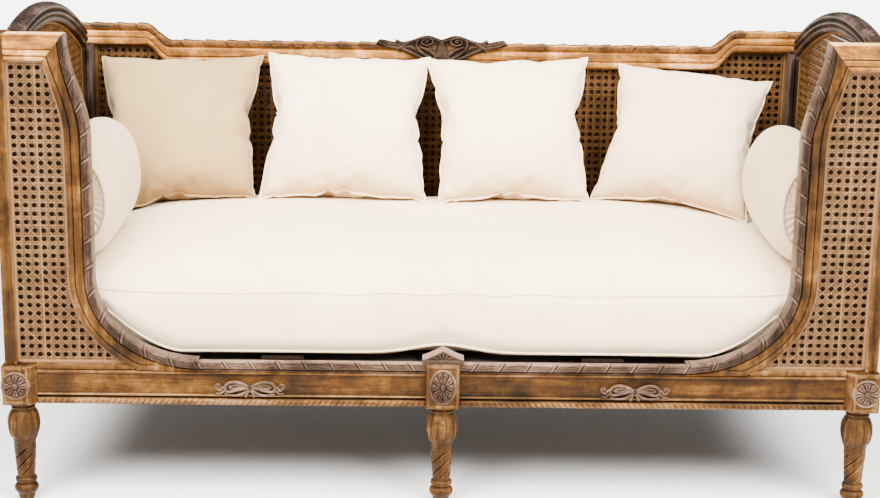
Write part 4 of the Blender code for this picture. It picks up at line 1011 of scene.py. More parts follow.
@dataclass
class Wing:
    """A front wing: ribbon border and stile in one sweep, mitred top rail, post and foot bead."""

    side: Side
    neck: float = 0.737
    top_inner: float = 0.782
    shoulder: float = 0.800
    sweep_x: float = 0.520
    sweep_z: float = 0.5003
    sweep_width: float = 0.217
    sweep_height: float = 0.178
    stile: float = 0.050
    rail_height: float = 0.054
    ribbon: float = 0.0165
    period: float = 0.0565
    thick: float = 0.040
    cane_foot: float = 0.3128
    columns: int = 19

    def inner_edge(self, height: Array) -> Array:
        """Inner edge of the stile from the middle: a quarter sweep, a straight waist, a soft shoulder."""
        drop = np.clip((self.sweep_z - height) / self.sweep_height, 0.0, 1.0)
        sweep = self.sweep_x + self.sweep_width * np.sqrt(1.0 - drop * drop)
        lean = (self.top_inner - self.neck) * ease((height - self.shoulder) / (PLAN.wing_top - self.shoulder))
        return sweep + lean

    def cane_edge(self, height: Array) -> Array:
        """Distance of the stile's cane side from the middle: a wider sweep below, a stile's width above."""
        drop = np.clip((self.sweep_z - height) / (self.sweep_height + self.stile), 0.0, 1.0)
        low = self.sweep_x + (self.sweep_width + self.stile) * np.sqrt(1.0 - drop * drop)
        return np.where(height < self.sweep_z, low, self.inner_edge(height) + self.stile)

    def border(self) -> tuple[Array, Array]:
        """Inner and outer line of the border, from the centre block along the rail and up to the mitre."""
        run = np.linspace(PLAN.centre_side, self.sweep_x, 60)[:-1]
        flat_in = grid(run, PLAN.border_top)
        flat_out = grid(run, PLAN.panel_foot)
        turn = np.linspace(0.0, math.pi / 2.0, 80)[:-1]
        bend_in, bend_out = (
            grid(
                self.sweep_x + (self.sweep_width + aside) * np.sin(turn),
                self.sweep_z - (self.sweep_height + aside) * np.cos(turn),
            )
            for aside in (0.0, self.stile)
        )
        above, tall = bend_in[:, 1] - PLAN.panel_foot, bend_in[:, 1] - bend_out[:, 1]
        share = np.clip(above / np.maximum(tall, 1e-6), 0.0, 1.0)
        bend_out = bend_in + (bend_out - bend_in) * share[:, None]
        rise = np.linspace(self.sweep_z, PLAN.wing_top, 90)
        up_in = grid(self.inner_edge(rise), rise)
        turned = np.clip((rise - self.shoulder) / (PLAN.wing_top - self.shoulder), 0.0, 1.0)
        fall = rise - self.rail_height * turned
        up_out = grid(self.cane_edge(fall), fall)
        return np.concatenate([flat_in, bend_in, up_in]), np.concatenate([flat_out, bend_out, up_out])

    def relief(self, across: Array, width: Array) -> Array:
        """How far the border stands in front of the frame's face: a half-round ribbon, a groove, a soft
        band, a second groove and a bead beside the cane.
        """
        ribbon = self.ribbon
        spot = np.clip(across / ribbon, 0.0, 1.0) - 0.5
        inside = ease((ribbon * 1.04 - across) / (ribbon * 0.06))
        dome = 0.0052 * half_round(2.0 * spot) ** 0.8
        rest = across - ribbon
        left = width - across
        wide = ease((width - 0.030) / 0.012)
        plain = -0.0030 * bell(rest - 0.0020, 0.0016)
        bands = beads(left, (0.0009, 0.0210, 0.0080), (-0.0028, 0.0130, 0.0014), (0.0016, 0.0062, 0.0042))
        plain += wide * (bands - 0.0022 * ease((0.0022 - left) / 0.0022))
        return inside * dome + (1.0 - inside) * plain

    def ribbon_cut(self, across: Array, run: Array) -> Array:
        """Carving of the ribbon: a knuckle across it once in each period, with a nick behind, and two
        lines cut along it between the knuckles.
        """
        spot = np.clip(across / self.ribbon, 0.0, 1.0) - 0.5
        phase = np.mod(run / self.period + 0.22 * spot, 1.0) - 0.5
        between = np.clip(np.abs(phase) * 5.0 - 0.5, 0.0, 1.0)
        lines = bell(spot + 0.20 - 0.10 * phase, 0.050) + bell(spot - 0.14 - 0.10 * phase, 0.050)
        cut = beads(phase, (0.0030, 0.0, 0.042), (-0.0022, 0.095, 0.030)) + 0.0008 * np.cos(FULL_TURN * phase)
        return (cut - 0.0015 * lines * between) * ease((0.48 - spot) / 0.12)

    def border_skin(self, first: float, last: float, deep: float, strip: Strip) -> Skin:
        """One stretch of the border as a closed bar.

        Args:
            first: Share of the whole line where the stretch starts.
            last: Share where it ends.
            deep: Distance of its back behind the frame's face.
            strip: The part of its width that is wanted.

        Returns:
            The stretch on this wing's side.
        """
        inner, outer = self.border()
        runs = running(inner)
        even = np.linspace(runs[-1] * first, runs[-1] * last, int(runs[-1] * (last - first) / 0.0016))
        near, far = (at_lengths(line, runs, even) for line in (inner, outer))
        width = np.linalg.norm(far - near, axis=1)[:, None]
        lead = np.linspace(0.0, self.ribbon, self.columns)[None]
        rest = self.ribbon + (width - self.ribbon) * np.linspace(0.0, 1.0, 34)[None, 1:]
        across = np.concatenate([np.broadcast_to(lead, (len(even), self.columns)), rest], axis=1)
        cut = self.ribbon_cut(across, even[:, None])
        tilt = np.clip(1.0 - 2.0 * across / self.ribbon, 0.0, 1.0)
        face = near[:, None] + (far - near)[:, None] * ((across - cut * tilt) / width)[:, :, None]
        depth = PLAN.front_y - self.relief(across, width) - cut * np.sqrt(1.0 - tilt**2)
        front = grid(face[:, :, 0], depth, face[:, :, 1])
        seam = self.ribbon / width
        none, full = 0.0 * seam, 1.0 + 0.0 * seam
        first_share, last_share, columns = {
            Strip.WHOLE: (none, full, slice(None)),
            Strip.RIBBON: (none, seam, slice(self.columns)),
            Strip.BAND: (seam, full, slice(self.columns - 1, None)),
        }[strip]
        back_share = first_share + (last_share - first_share) * np.array([1.0, 0.97, 0.5, 0.06, 0.0])[None]
        back = near[:, None] + (far - near)[:, None] * back_share[:, :, None]
        back_y = PLAN.front_y + deep - np.array([0.0015, 0.0, 0.0, 0.0, 0.002])
        behind = grid(back[:, :, 0], back_y, back[:, :, 1])
        rings = np.concatenate([front[:, columns], behind], axis=1)
        skin = loft(rings, reach=0.0006)
        worn = skin.wear.reshape(rings.shape[:2])
        if strip is not Strip.WHOLE:
            worn[:, -6 if strip is Strip.RIBBON else 0] = 0.1
        skin.wear = worn.ravel()
        return self.side.own(skin)

    def top_rail(self) -> Skin:
        """The mitred top rail: bands and grooves run level from the mitre to the post."""
        across = np.linspace(0.0, self.rail_height, 52)
        share = np.linspace(0.0, 1.0, 40)[:, None]
        mitre = self.cane_edge(np.array(PLAN.wing_top - self.rail_height))
        start = self.top_inner + (mitre - self.top_inner) * across / self.rail_height
        x = start[None] + (PLAN.post_inner - 0.0003 - start[None]) * share
        left = self.rail_height - across
        relief = beads(across, (0.0016, 0.0150, 0.0130), (-0.0030, 0.0315, 0.0016))
        relief += beads(left, (0.0014, 0.0150, 0.0060), (-0.0028, 0.0090, 0.0014), (0.0016, 0.0048, 0.0032))
        relief -= 0.0022 * ease((0.0022 - across) / 0.0022) + 0.002 * ease((0.002 - left) / 0.002)
        front = grid(x, PLAN.front_y - relief, PLAN.wing_top - across)
        behind = front[:, [-1, -3, 26, 2, 0]].copy()
        behind[:, :, 1] = PLAN.front_y + self.thick - np.array([0.002, 0.0, 0.0, 0.0, 0.002])
        return self.side.own(loft(np.concatenate([front, behind], axis=1), reach=0.0006))

    def post(self) -> Skin:
        """The outer post: a bar whose front has a hollow between two beads, standing on the block."""
        across = np.linspace(0.0, 1.0, 27)
        aside = np.abs(across - 0.5)
        hollow = beads(aside, (0.0030, 0.0, 0.17), (-0.0010, 0.33, 0.08))
        hollow += 0.0030 * ease((aside - 0.45) / 0.05)
        left, right, face = PLAN.post_inner + 0.0003, PLAN.wing_outer, PLAN.front_y
        front = grid(left + (right - left) * across, face + 0.0012 + hollow)
        outer = np.array([(right, face + part) for part in (0.020, 0.024, 0.030, 0.044, 0.050, 0.054, 0.072)])
        outer[:, 0] -= np.array([0.0, 0.0022, 0.0, 0.0, 0.0022, 0.0, 0.0])
        back = np.array([(right - 0.003, face + 0.075), (left + 0.0027, face + 0.075), (left, face + 0.072)])
        skin = bar(np.concatenate([front, outer, back]), np.linspace(0.3103, PLAN.wing_top, 60), 2)
        return self.side.own(skin)

    def foot_bead(self) -> Skin:
        """A half-round bead on the seat rail, below the cane."""
        turn = np.linspace(-math.pi / 2.0, math.pi / 2.0, 9)
        face, foot = PLAN.front_y, PLAN.panel_foot
        nose = grid(face + 0.0065 - 0.0058 * np.cos(turn), foot + 0.0060 + 0.0060 * np.sin(turn))
        plan = np.concatenate([nose, [(face + 0.030, foot + 0.012), (face + 0.030, foot)]])
        return self.side.own(bar(plan, np.linspace(0.6560, PLAN.corner_side, 40), 0))

    def cane_inside(self, u: Array, v: Array) -> Array:
        """True where a place in the wing's plane lies in its cane panel."""
        low = np.where(u > PLAN.corner_side, 0.3115, self.cane_foot)
        high = PLAN.wing_top - self.rail_height + 0.003
        return (u > self.cane_edge(v) - 0.004) & (u < PLAN.post_inner + 0.003) & (v > low) & (v < high)

    def build(self) -> None:
        """Every piece of the wing, with its cane and the pale binder round it."""
        inner, _ = self.border()
        length = running(inner)[-1]
        cut = (self.sweep_x - PLAN.centre_side) / length
        label = self.side.label
        fixed(
            "ribbon_moulding_" + label, self.border_skin(0.0, cut, 0.015, Strip.WHOLE), LIMED_CARVING,
            "seat_moulding_" + label
        )
        fixed("ribbon_stile_" + label, self.border_skin(cut, 1.0, self.thick, Strip.RIBBON), LIMED_RIBBON)
        fixed(
            "swept_stile_" + label, self.border_skin(cut, 1.0, self.thick, Strip.BAND), GOLD_UPRIGHT,
            "wing_stile_" + label
        )
        fixed("mitred_rail_" + label, self.top_rail(), GOLD_PAINTED_HIGHLIGHT, "wing_rail_" + label)
        fixed("outer_post_" + label, self.post() + self.foot_bead(), GOLD_UPRIGHT, "front_post_" + label)
        plane = PLAN.front_y + self.thick / 2.0
        sign = self.side.value

        def place(u: Array, v: Array, out: Array) -> Array:
            """A place in the wing's plane, moved forward by its height."""
            return grid(sign * u, plane - 0.006 - out, v)

        weave = CaneWeave((0.640, 0.312), (0.912, 0.965), self.cane_inside, place)
        strands = weave.lattice() + weave.diagonals()
        rise = np.linspace(self.cane_foot, PLAN.wing_top - self.rail_height - 0.002, 90)
        side_line = grid(self.cane_edge(rise) + 0.0015, rise)
        far, foot = PLAN.post_inner - 0.002, 0.3145
        loop = np.concatenate([side_line, [(far, rise[-1]), (far, foot), (0.70, foot)]])
        fixed("wing_cane_woven_" + label, strands + weave.binder(loop), PALE_CANE, "wing_cane_" + label)
        fixed("wing_cane_lining_" + label, weave.lining(), LINING_CANE_SHADE)


@dataclass
class CaneWeave:
    """Hand-woven cane: pairs of upright and level strands, and two sets of diagonals that cut the corners.

    Attributes:
        low: Lowest corner of the panel in its plane.
        high: Highest corner.
        inside: Says which places in the plane lie in the panel.
        place: Carries a place in the plane and a height above it into space.
    """

    low: tuple[float, float]
    high: tuple[float, float]
    inside: Callable[[Array, Array], Array]
    place: Callable[[Array, Array, Array], Array]
    pitch: float = 0.0180
    width: float = 0.0034
    thick: float = 0.0012
    pair: float = 0.0022
    slant: float = 0.0024
    straight: float = 0.1440
    behind: float = 0.008

    def clipped(self, start: Array, way: Array, length: float) -> tuple[Array, Array]:
        """Both ends of every run of the lines that lies inside the panel, found on a fine row of samples."""
        step = 0.0015
        spots = np.arange(0.0, length, step)
        u = start[:, 0, None] + way[0] * spots
        v = start[:, 1, None] + way[1] * spots
        mask = np.pad(self.inside(u, v), ((0, 0), (1, 1)))
        line, first = np.nonzero(mask[:, 1:-1] & ~mask[:, :-2])
        _, last = np.nonzero(mask[:, 1:-1] & ~mask[:, 2:])
        keep = (last - first) * step > 0.006
        ends = [start[line[keep]] + way * spots[spot[keep], None] for spot in (first, last)]
        return ends[0], ends[1]

    def strands(
        self, first: Array, last: Array, axis: int, step: float, level: float, wave: float, seed: float,
        width: float
    ) -> Skin:
        """Every strand of one set: a flat diamond carried along its line, rising and falling once a pitch.

        Args:
            first: Starts of the strands in the panel's plane.
            last: Their ends, further on than the starts.
            axis: 0 or 1, the direction in which the facets keep step with the crossings.
            step: Length of one facet in that direction.
            level: Height of the set above the plane.
            wave: How far it rises and falls.
            seed: Sets the strands' tones apart from those of another set.
            width: Width of a strand.

        Returns:
            All the strands as one surface, their ends closed.
        """
        size = np.linalg.norm(last - first, axis=1)
        base = self.low[axis] + self.pitch / 2.0
        begin, end = first[:, axis], last[:, axis]
        lead = np.floor((begin - base) / step)
        count = np.maximum(np.ceil((end - base) / step) - lead - 1.0, 0.0).astype(int) + 2
        owner = np.repeat(np.arange(len(size)), count)
        number = np.arange(count.sum()) - (np.cumsum(count) - count)[owner]
        level_spot = np.where(
            number == count[owner] - 1, end[owner],
            np.clip(base + (lead[owner] + number) * step, begin[owner], end[owner])
        )
        share = (level_spot - begin[owner]) / (end - begin)[owner]
        spot = first[owner] + (last - first)[owner] * share[:, None]
        way = (last - first) / size[:, None]
        square = grid(-way[:, 1], way[:, 0])[owner]
        rise = level + wave * np.cos(FULL_TURN * (spot[:, 1] - self.low[1] - self.pitch / 2.0) / self.pitch)
        offset = np.array([(-0.5, 0.0), (0.0, 0.5), (0.5, 0.0), (0.0, -0.5)])
        edge = spot[:, None] + square[:, None] * (offset[None, :, :1] * width)
        out = rise[:, None] + offset[None, :, 1] * self.thick
        rings = self.place(edge[:, :, 0], edge[:, :, 1], out)
        ring = np.arange(len(owner) * 4).reshape(-1, 4)
        inner = np.nonzero(number < count[owner] - 1)[0]
        low, high = ring[inner], ring[inner + 1]
        sides = grid(low, np.roll(low, -1, axis=1), np.roll(high, -1, axis=1), high).reshape(-1, 4)
        caps = np.concatenate([ring[number == 0][:, ::-1], ring[number == count[owner] - 1]])
        faces = np.concatenate([sides, caps])
        quad = rings.reshape(-1, 3)[sides[0:4]]
        hub = quad.reshape(-1, 3).mean(axis=0)
        turned = np.cross(quad[:, 2] - quad[:, 0], quad[:, 3] - quad[:, 1])
        if np.sum((quad.mean(axis=1) - hub) * turned) < 0.0:
            faces = faces[:, ::-1]
        tone = np.repeat(chance(np.arange(len(size)) + seed), count)
        counts, spots = np.full(len(faces), 4), np.zeros((faces.size, 2))
        return Skin(rings.reshape(-1, 3), faces.ravel(), counts, np.repeat(tone, 4), spots)

    def lattice(self) -> Skin:
        """Upright pairs below and above the level pairs that they hold."""
        skins = []
        tall, broad = self.high[1] - self.low[1], self.high[0] - self.low[0]
        for number, shift in enumerate((-self.pair, self.pair)):
            columns = np.arange(self.low[0], self.high[0], self.pitch) + self.pitch / 2.0 + shift
            start = grid(columns, self.low[1])
            first, last = self.clipped(start, np.array([0.0, 1.0]), tall)
            level = 0.0011 * (-1.0) ** number
            skins.append(self.strands(first, last, 1, self.straight, level, 0.0, 3.0 + number, self.width))
            rows = np.arange(self.low[1], self.high[1], self.pitch) + self.pitch / 2.0 + shift
            start = grid(self.low[0], rows)
            first, last = self.clipped(start, np.array([1.0, 0.0]), broad)
            skins.append(self.strands(first, last, 0, self.straight, 0.0, 0.0, 57.0 + number, self.width))
        return joined(skins)

    def diagonals(self) -> Skin:
        """Two slanting sets half a pitch off the crossings, one before and one behind the lattice."""
        skins = []
        tall, broad = self.high[1] - self.low[1], self.high[0] - self.low[0]
        for number, lean in enumerate((1.0, -1.0)):
            shift = self.pitch / 2.0 - (0.0 if lean > 0.0 else np.mod(tall, self.pitch))
            numbers = np.arange(-math.ceil(tall / self.pitch), math.ceil(broad / self.pitch) + 1)
            begin = self.low[0] + shift + numbers * self.pitch
            start = grid(begin, self.low[1] if lean > 0.0 else self.high[1])
            first, last = self.clipped(start, np.array([1.0, lean]) / math.sqrt(2.0), (tall + broad) * 1.5)
            if lean < 0.0:
                first, last = last, first
            wave, seed = 0.0017 * lean, 91.0 + 40.0 * number
            skins.append(self.strands(first, last, 1, self.pitch / 2.0, 0.0, wave, seed, self.slant))
        return joined(skins)

    def lining(self, width: float = 0.0084, pair: float = 0.0043) -> Skin:
        """The second sheet of a double-caned panel: a closer weave half a pitch aside and a little behind."""

        def place(u: Array, v: Array, out: Array) -> Array:
            """A place in the plane of the second sheet."""
            return self.place(u, v, out - self.behind)

        low = (self.low[0] - self.pitch * 0.5, self.low[1] - self.pitch * 0.45)
        sheet = CaneWeave(low, self.high, self.inside, place, width=width, pair=pair, slant=0.0036)
        return sheet.lattice() + sheet.diagonals()

    def binder(self, line: Array) -> Skin:
        """The wide binder cane that hides the holes round a panel."""
        even = resampled(np.concatenate([line, line[:1]]), 0.010)
        path = self.place(even[:, 0], even[:, 1], np.full(len(even), 0.0022))
        flat, raised = (self.place(np.zeros(1), np.zeros(1), np.full(1, out)) for out in (0.0, 1.0))
        skin = tube(path[:-1], 0.0042, 8, 0.42, True, tuple((raised - flat)[0]))
        skin.wear[:] = 0.9
        return skin


@dataclass
class Arm:
    """An arm: arched moulded rail with a carved back edge, cane panel, sill and side rail."""

    side: Side
    front_x: float = 0.908
    start_y: float = -0.32835
    back_x: float = PLAN.rear_leg_x
    length: float = 0.665
    front_top: float = 0.995
    back_top: float = 0.935
    rise: float = 0.070
    rail_height: float = 0.045
    leaf_period: float = 0.021

    @property
    def angle(self) -> float:
        """Turn of the arm's plane towards the middle at its back."""
        return math.atan2(self.front_x - self.back_x, self.length)

    def place(self, reach: Array, out: Array, height: Array) -> Array:
        """A place along the arm, out of its plane towards the seat, and up, carried into space."""
        angle = self.angle
        sign = self.side.value
        x = sign * self.front_x - sign * math.sin(angle) * reach - sign * math.cos(angle) * out
        y = self.start_y + math.cos(angle) * reach - math.sin(angle) * out
        return grid(x, y, height)

    def top(self, share: Array) -> Array:
        """Top of the rail: a straight fall from front to back with a parabola's arch on it."""
        fall = (self.back_top - self.front_top) * share
        return self.front_top + fall + self.rise * 4.0 * share * (1.0 - share)

    def rail_section(self) -> Array:
        """Half section of the rail: distance out of its middle and drop below its top, from the foot up."""
        half = np.array([
            (0.0110, -0.0450), (0.0148, -0.0445), (0.0162, -0.0425), (0.0164, -0.0380), (0.0158, -0.0345),
            (0.0150, -0.0330), (0.0158, -0.0315), (0.0186, -0.0298), (0.0198, -0.0268), (0.0196, -0.0235),
            (0.0180, -0.0208), (0.0156, -0.0196), (0.0150, -0.0182), (0.0164, -0.0168), (0.0190, -0.0142),
            (0.0197, -0.0108), (0.0186, -0.0072), (0.0160, -0.0042), (0.0125, -0.0022), (0.0085, -0.0009),
            (0.0042, -0.0002), (0.0, 0.0),
        ])
        return np.concatenate([half, half[-2::-1] * (-1.0, 1.0)])

    def rail(self) -> Skin:
        """The section carried along the arch; slanting cuts make a row of leaves on its crown."""
        share = np.linspace(0.0, 1.0, 330)
        plan = self.rail_section()
        run = 0.0006 + (self.length - 0.0012) / math.cos(self.angle) * share
        crown = ease((plan[:, 1] + 0.0150) / 0.006) * ease((0.0125 - plan[:, 0]) / 0.006)
        gap = np.mod(run[:, None] / self.leaf_period + np.abs(plan[None, :, 0] + 0.004) / 0.024, 1.0)
        leaf = crown[None] * (0.0020 * gap**1.5 - 0.0016 * bell(gap - 0.97, 0.07) - 0.0010)
        out = plan[None, :, 0] * (1.0 + leaf * 18.0)
        height = self.top(share)[:, None] + plan[None, :, 1] + leaf
        return loft(self.place(run[:, None], out, height), reach=0.0007)

    def level_bar(self, plan: Array, first: float, last: float) -> Skin:
        """A level bar along the arm: a section of distance out and height carried between two reaches."""
        return loft(self.place(np.linspace(first, last, 90)[:, None], plan[:, 0], plan[:, 1]))

    def cane_inside(self, u: Array, v: Array) -> Array:
        """True where a place in the arm's plane lies in its cane panel."""
        share = np.clip(u / self.length, 0.0, 1.0)
        level = (v > PLAN.panel_sill - 0.004) & (v < self.top(share) - self.rail_height + 0.006)
        return (u > -0.002) & (u < self.length + 0.002) & level

    def build(self) -> None:
        """Rail, sill, side rail, cane and binders."""
        label = self.side.label
        fixed("arched_rail_" + label, self.rail(), DARK_DEEP, "arm_rail_" + label)
        foot, step, top = PLAN.panel_foot, 0.3215, PLAN.panel_sill
        half = np.array([(0.015, foot), (0.015, step), (0.012, step + 0.002), (0.012, top)])
        sill = rounded(np.concatenate([half, half[::-1] * (-1.0, 1.0)]), 0.0022)
        reach = self.length / math.cos(self.angle)
        fixed(
            "panel_sill_" + label, self.level_bar(sill, 0.0008, reach - 0.0008), DARK_DEEP,
            "arm_sill_" + label
        )
        rail = FrontRail(self.side).section()
        outer = grid(-0.018 + rail[2:, 0], PLAN.rail_foot + rail[2:, 1])
        outer = np.clip(outer, (-0.018, 0.0), (0.0165, 1.0))
        back = np.array([(0.018, PLAN.rail_foot + 0.0015), (0.018, PLAN.rail_top - 0.0015)])
        low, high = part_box("side_rail_" + label)
        first, last = low[1] - self.start_y + 0.0006, high[1] - self.start_y - 0.0006
        fixed(
            "moulded_side_rail_" + label, self.level_bar(np.concatenate([back, outer]), first, last),
            DARK_DEEP, "side_rail_" + label
        )

        def place(u: Array, v: Array, out: Array) -> Array:
            """A place in the arm's plane, moved towards the seat by its height."""
            return self.place(u, out, v)

        weave = CaneWeave((-0.002, 0.330), (self.length + 0.004, 1.030), self.cane_inside, place)
        share = np.linspace(0.0, 1.0, 50)
        arch = grid(0.003 + (self.length - 0.006) * share, self.top(share) - self.rail_height - 0.002)
        loop = np.concatenate([arch, [(self.length - 0.003, PLAN.binder_foot), (0.003, PLAN.binder_foot)]])
        fixed("arm_cane_woven_" + label, weave.lattice() + weave.binder(loop), GOLD_CANE_PARTLY_SHADED, "arm_cane_" + label)
        fixed("arm_cane_slanted_" + label, weave.diagonals(), GOLD_CANE_PARTLY_SHADED)
        fixed("arm_cane_lining_" + label, weave.lining(0.0054, 0.0028), LINING_CANE_SHADE)


@dataclass
class Back:
    """The back: carved crest rail, scrolled carving, posts, sill, rear rails and one cane panel."""

    half_length: float = 0.909
    run_top: float = 0.902
    run_height: float = 0.056
    end_top: float = 0.942
    end_height: float = 0.050
    shoulder_in: float = 0.673
    shoulder_out: float = 0.735
    leaf_period: float = 0.055
    edge_rows: int = 12
    edge_deep: float = 0.014
    post_x: float = PLAN.rear_leg_x
    post_width: float = 0.046
    post_depth: float = 0.085
    sill_y: float = 0.39915

    def lift(self, x: Array) -> Array:
        """Share of the rise from the long run to the raised ends, by the smooth step."""
        return ease((np.abs(x) - self.shoulder_in) / (self.shoulder_out - self.shoulder_in))

    def top(self, x: Array) -> Array:
        """Top edge of the crest."""
        return self.run_top + (self.end_top - self.run_top) * self.lift(x)

    def foot(self, x: Array) -> Array:
        """Lower edge of the crest."""
        low, high = self.run_top - self.run_height, self.end_top - self.end_height
        return low + (high - low) * self.lift(x)

    def crest(self) -> Skin:
        """Bands and grooves by distance from the crest's two edges, with overlapping leaves along its top."""
        x = np.linspace(-self.half_length, self.half_length, 760)[:, None]
        edge = self.edge_deep
        rows = np.concatenate([np.linspace(0.0, edge, self.edge_rows), np.linspace(edge, 1.0, 40)[1:]])[None]
        tall = self.top(x) - self.foot(x)
        lower = edge + (tall - edge) * np.clip((rows - edge) / (1.0 - edge), 0.0, 1.0)
        below = np.where(np.arange(rows.size)[None] < self.edge_rows, rows, lower)
        above = tall - below
        gap = np.mod(np.abs(x) / self.leaf_period + 0.25 + below / 0.09, 1.0)
        leaf = 0.0042 * gap**1.3 - 0.0022 - 0.0022 * bell(gap - 0.985, 0.05)
        leaf -= 0.0010 * bell(gap - 0.45 - below * 14.0, 0.08)
        dome = 0.0034 * half_round((below - 0.0072) / 0.0078) + leaf * 0.7
        relief = ease((0.0150 - below) / 0.0035) * dome
        relief -= 0.0030 * bell(below - 0.0165, 0.0016)
        relief += beads(above, (0.0012, 0.0290, 0.0100), (-0.0030, 0.0165, 0.0018), (0.0020, 0.0085, 0.0062))
        relief -= 0.0030 * ease((0.0026 - above) / 0.0026)
        height = self.top(x) - below + leaf * ease((0.010 - below) / 0.010) * 0.8
        front = grid(x, PLAN.crest_y - relief, height)
        behind = front[:, [-1, -4, 25, 6, 0]].copy()
        behind[:, :, 1] = PLAN.rear_y - np.array([0.0025, 0.0, 0.0, 0.0, 0.0035])
        behind[:, :, 2] = np.where(np.arange(5)[None] == 4, front[:, 0, 2][:, None] - 0.001, behind[:, :, 2])
        rings = np.concatenate([front, behind], axis=1)
        skin = loft(rings, reach=0.0007)
        worn = skin.wear.reshape(rings.shape[:2])
        worn[:, :11] = np.clip(worn[:, :11] - 0.34, 0.0, 1.0)
        # The rows behind the carved front take a low tone, so that the painted highlight of the crest's
        # finish stays on its front.
        worn[:, rows.size:] = 0.14
        skin.wear = worn.ravel()
        return skin

    def carving(self) -> Skin:
        """Palmette, paired volutes and acanthus tails as one relief.

        A grid is drawn between the lower and the upper outline. At each place the height is that of the
        tallest strand, a half round about a rounded line that tapers from one half width to another.

        Returns:
            The closed relief, the same on both sides of the middle.
        """
        upper = np.array([
            (0, 11), (10, 14), (20, 18), (31, 21), (43, 20.5), (55, 17), (66, 12.5), (80, 7.5), (94, 4.5),
            (104, 6.5), (112, 12), (116.5, 4), (125, 5.5), (140, 9), (152, 10.5), (160, 6), (163, -2)
        ]) * MILLIMETRE
        lower = np.array([
            (0, -46), (20, -46), (50, -39), (80, -26), (100, -20), (112, -18.5), (117, -11), (135, -11),
            (150, -6), (160, -3.5), (163, -3)
        ]) * MILLIMETRE
        x = np.linspace(-0.163, 0.163, 330)[:, None]
        share = np.linspace(0.0, 1.0, 72)[None]
        high, low = (np.interp(np.abs(x), line[:, 0], line[:, 1]) for line in (upper, lower))
        place = grid(np.abs(x), low + (high - low) * share)
        height = np.zeros(place.shape[:2])
        for line, start, end, lift in self.strands():
            points = resampled(smooth_line(np.array(line) * MILLIMETRE), 0.0016)
            gap = np.linalg.norm(place[:, :, None] - points, axis=3)
            near = np.argmin(gap, axis=2)
            width = MILLIMETRE * (start + (end - start) * near / (len(points) - 1))
            height = np.maximum(height, lift * MILLIMETRE * half_round(gap.min(axis=2) / width))
        rim = np.sqrt(np.clip(np.minimum(share, 1.0 - share) / 0.07, 0.0, 1.0))
        depth = PLAN.crest_y - 0.0012 - (0.0016 + height) * rim
        front = grid(x, depth, self.run_top + place[:, :, 1])
        behind = front[:, [-1, 36, 0]].copy()
        behind[:, :, 1] = PLAN.crest_y + 0.006
        return loft(np.concatenate([front, behind], axis=1), reach=0.0005)

    def strands(self) -> list[tuple[list[tuple[float, float]], float, float, float]]:
        """Strands of the carving in millimetres, each with its points, two half widths and height.

        The points are counted from the middle of the crest's top edge.
        """
        fans = []
        for fan in (0.0, 0.36, 0.70, 1.0):
            line = [
                (4.0 * fan, 8.0), (7.0 * fan, -14.0), (13.0 * fan, -32.0),
                (23.0 * fan, -46.0 + 7.0 * fan * fan)
            ]
            fans.append((line, 2.6, 6.0, 9.0 - fan))
        volute = [
            (12, -43), (32, -33), (55, -17), (63, 0), (56, 13), (41, 17), (25, 12.5), (23, 3.5), (37, -2.5),
            (50, 3), (47, 10), (38, 11), (34, 7), (40, 5)
        ]
        return fans + [
            ([(0, 8.5), (8, 9.5), (19, 13.5)], 4.0, 4.5, 9.5), (volute, 6.0, 3.2, 9.5),
            ([(14, -31), (26, -20), (40, -12), (53, -7)], 6.0, 4.2, 6.0),
            ([(22, -43), (50, -34), (78, -21), (95, -13), (106, -3)], 7.0, 4.6, 7.0),
            ([(60, 12), (74, 8), (88, 1), (102, -8), (111, -15)], 6.5, 4.4, 8.0),
            ([(58, -20), (72, -9), (86, -6), (98, -10)], 6.0, 4.2, 5.5),
            ([(80, 4), (94, 0.5), (106, 3), (112, 9)], 5.0, 3.4, 6.5),
            ([(104, -12), (120, -8), (136, -5), (147, 0), (156, 4)], 5.6, 4.0, 7.0),
            ([(112, -2), (126, -1), (137, 2.5), (149, 8)], 4.6, 3.4, 7.0),
            ([(117, 2.5), (126, 3), (138, 7)], 3.6, 2.8, 6.0),
        ]

    def post(self, side: Side) -> Skin:
        """A back post: a bar whose front has two reeds between three hollows."""
        across = np.linspace(0.0, 1.0, 41)
        aside = np.abs(across - 0.5)
        wave = 0.0030 * np.clip(-np.cos(FULL_TURN * 2.5 * aside), 0.0, 1.0) * ease((0.5 - aside) / 0.06)
        wave += 0.0030 * ease((aside - 0.46) / 0.04)
        left = side.value * self.post_x - self.post_width / 2.0
        front = grid(left + self.post_width * across, PLAN.rear_y - self.post_depth + 0.0005 + wave)
        right = left + self.post_width
        rear, cut = PLAN.rear_y, 0.003
        back = np.array([(right, rear - cut), (right - cut, rear), (left + cut, rear), (left, rear - cut)])
        return bar(np.concatenate([front, back]), np.linspace(0.3003, 0.8917, 40), 2)

    def cane_inside(self, u: Array, v: Array) -> Array:
        """True where a place in the back's plane lies in its cane panel."""
        return (
            (np.abs(u) < PLAN.inner_half + 0.003) & (v > PLAN.panel_sill - 0.003)
            & (v < self.foot(u) + 0.004)
        )

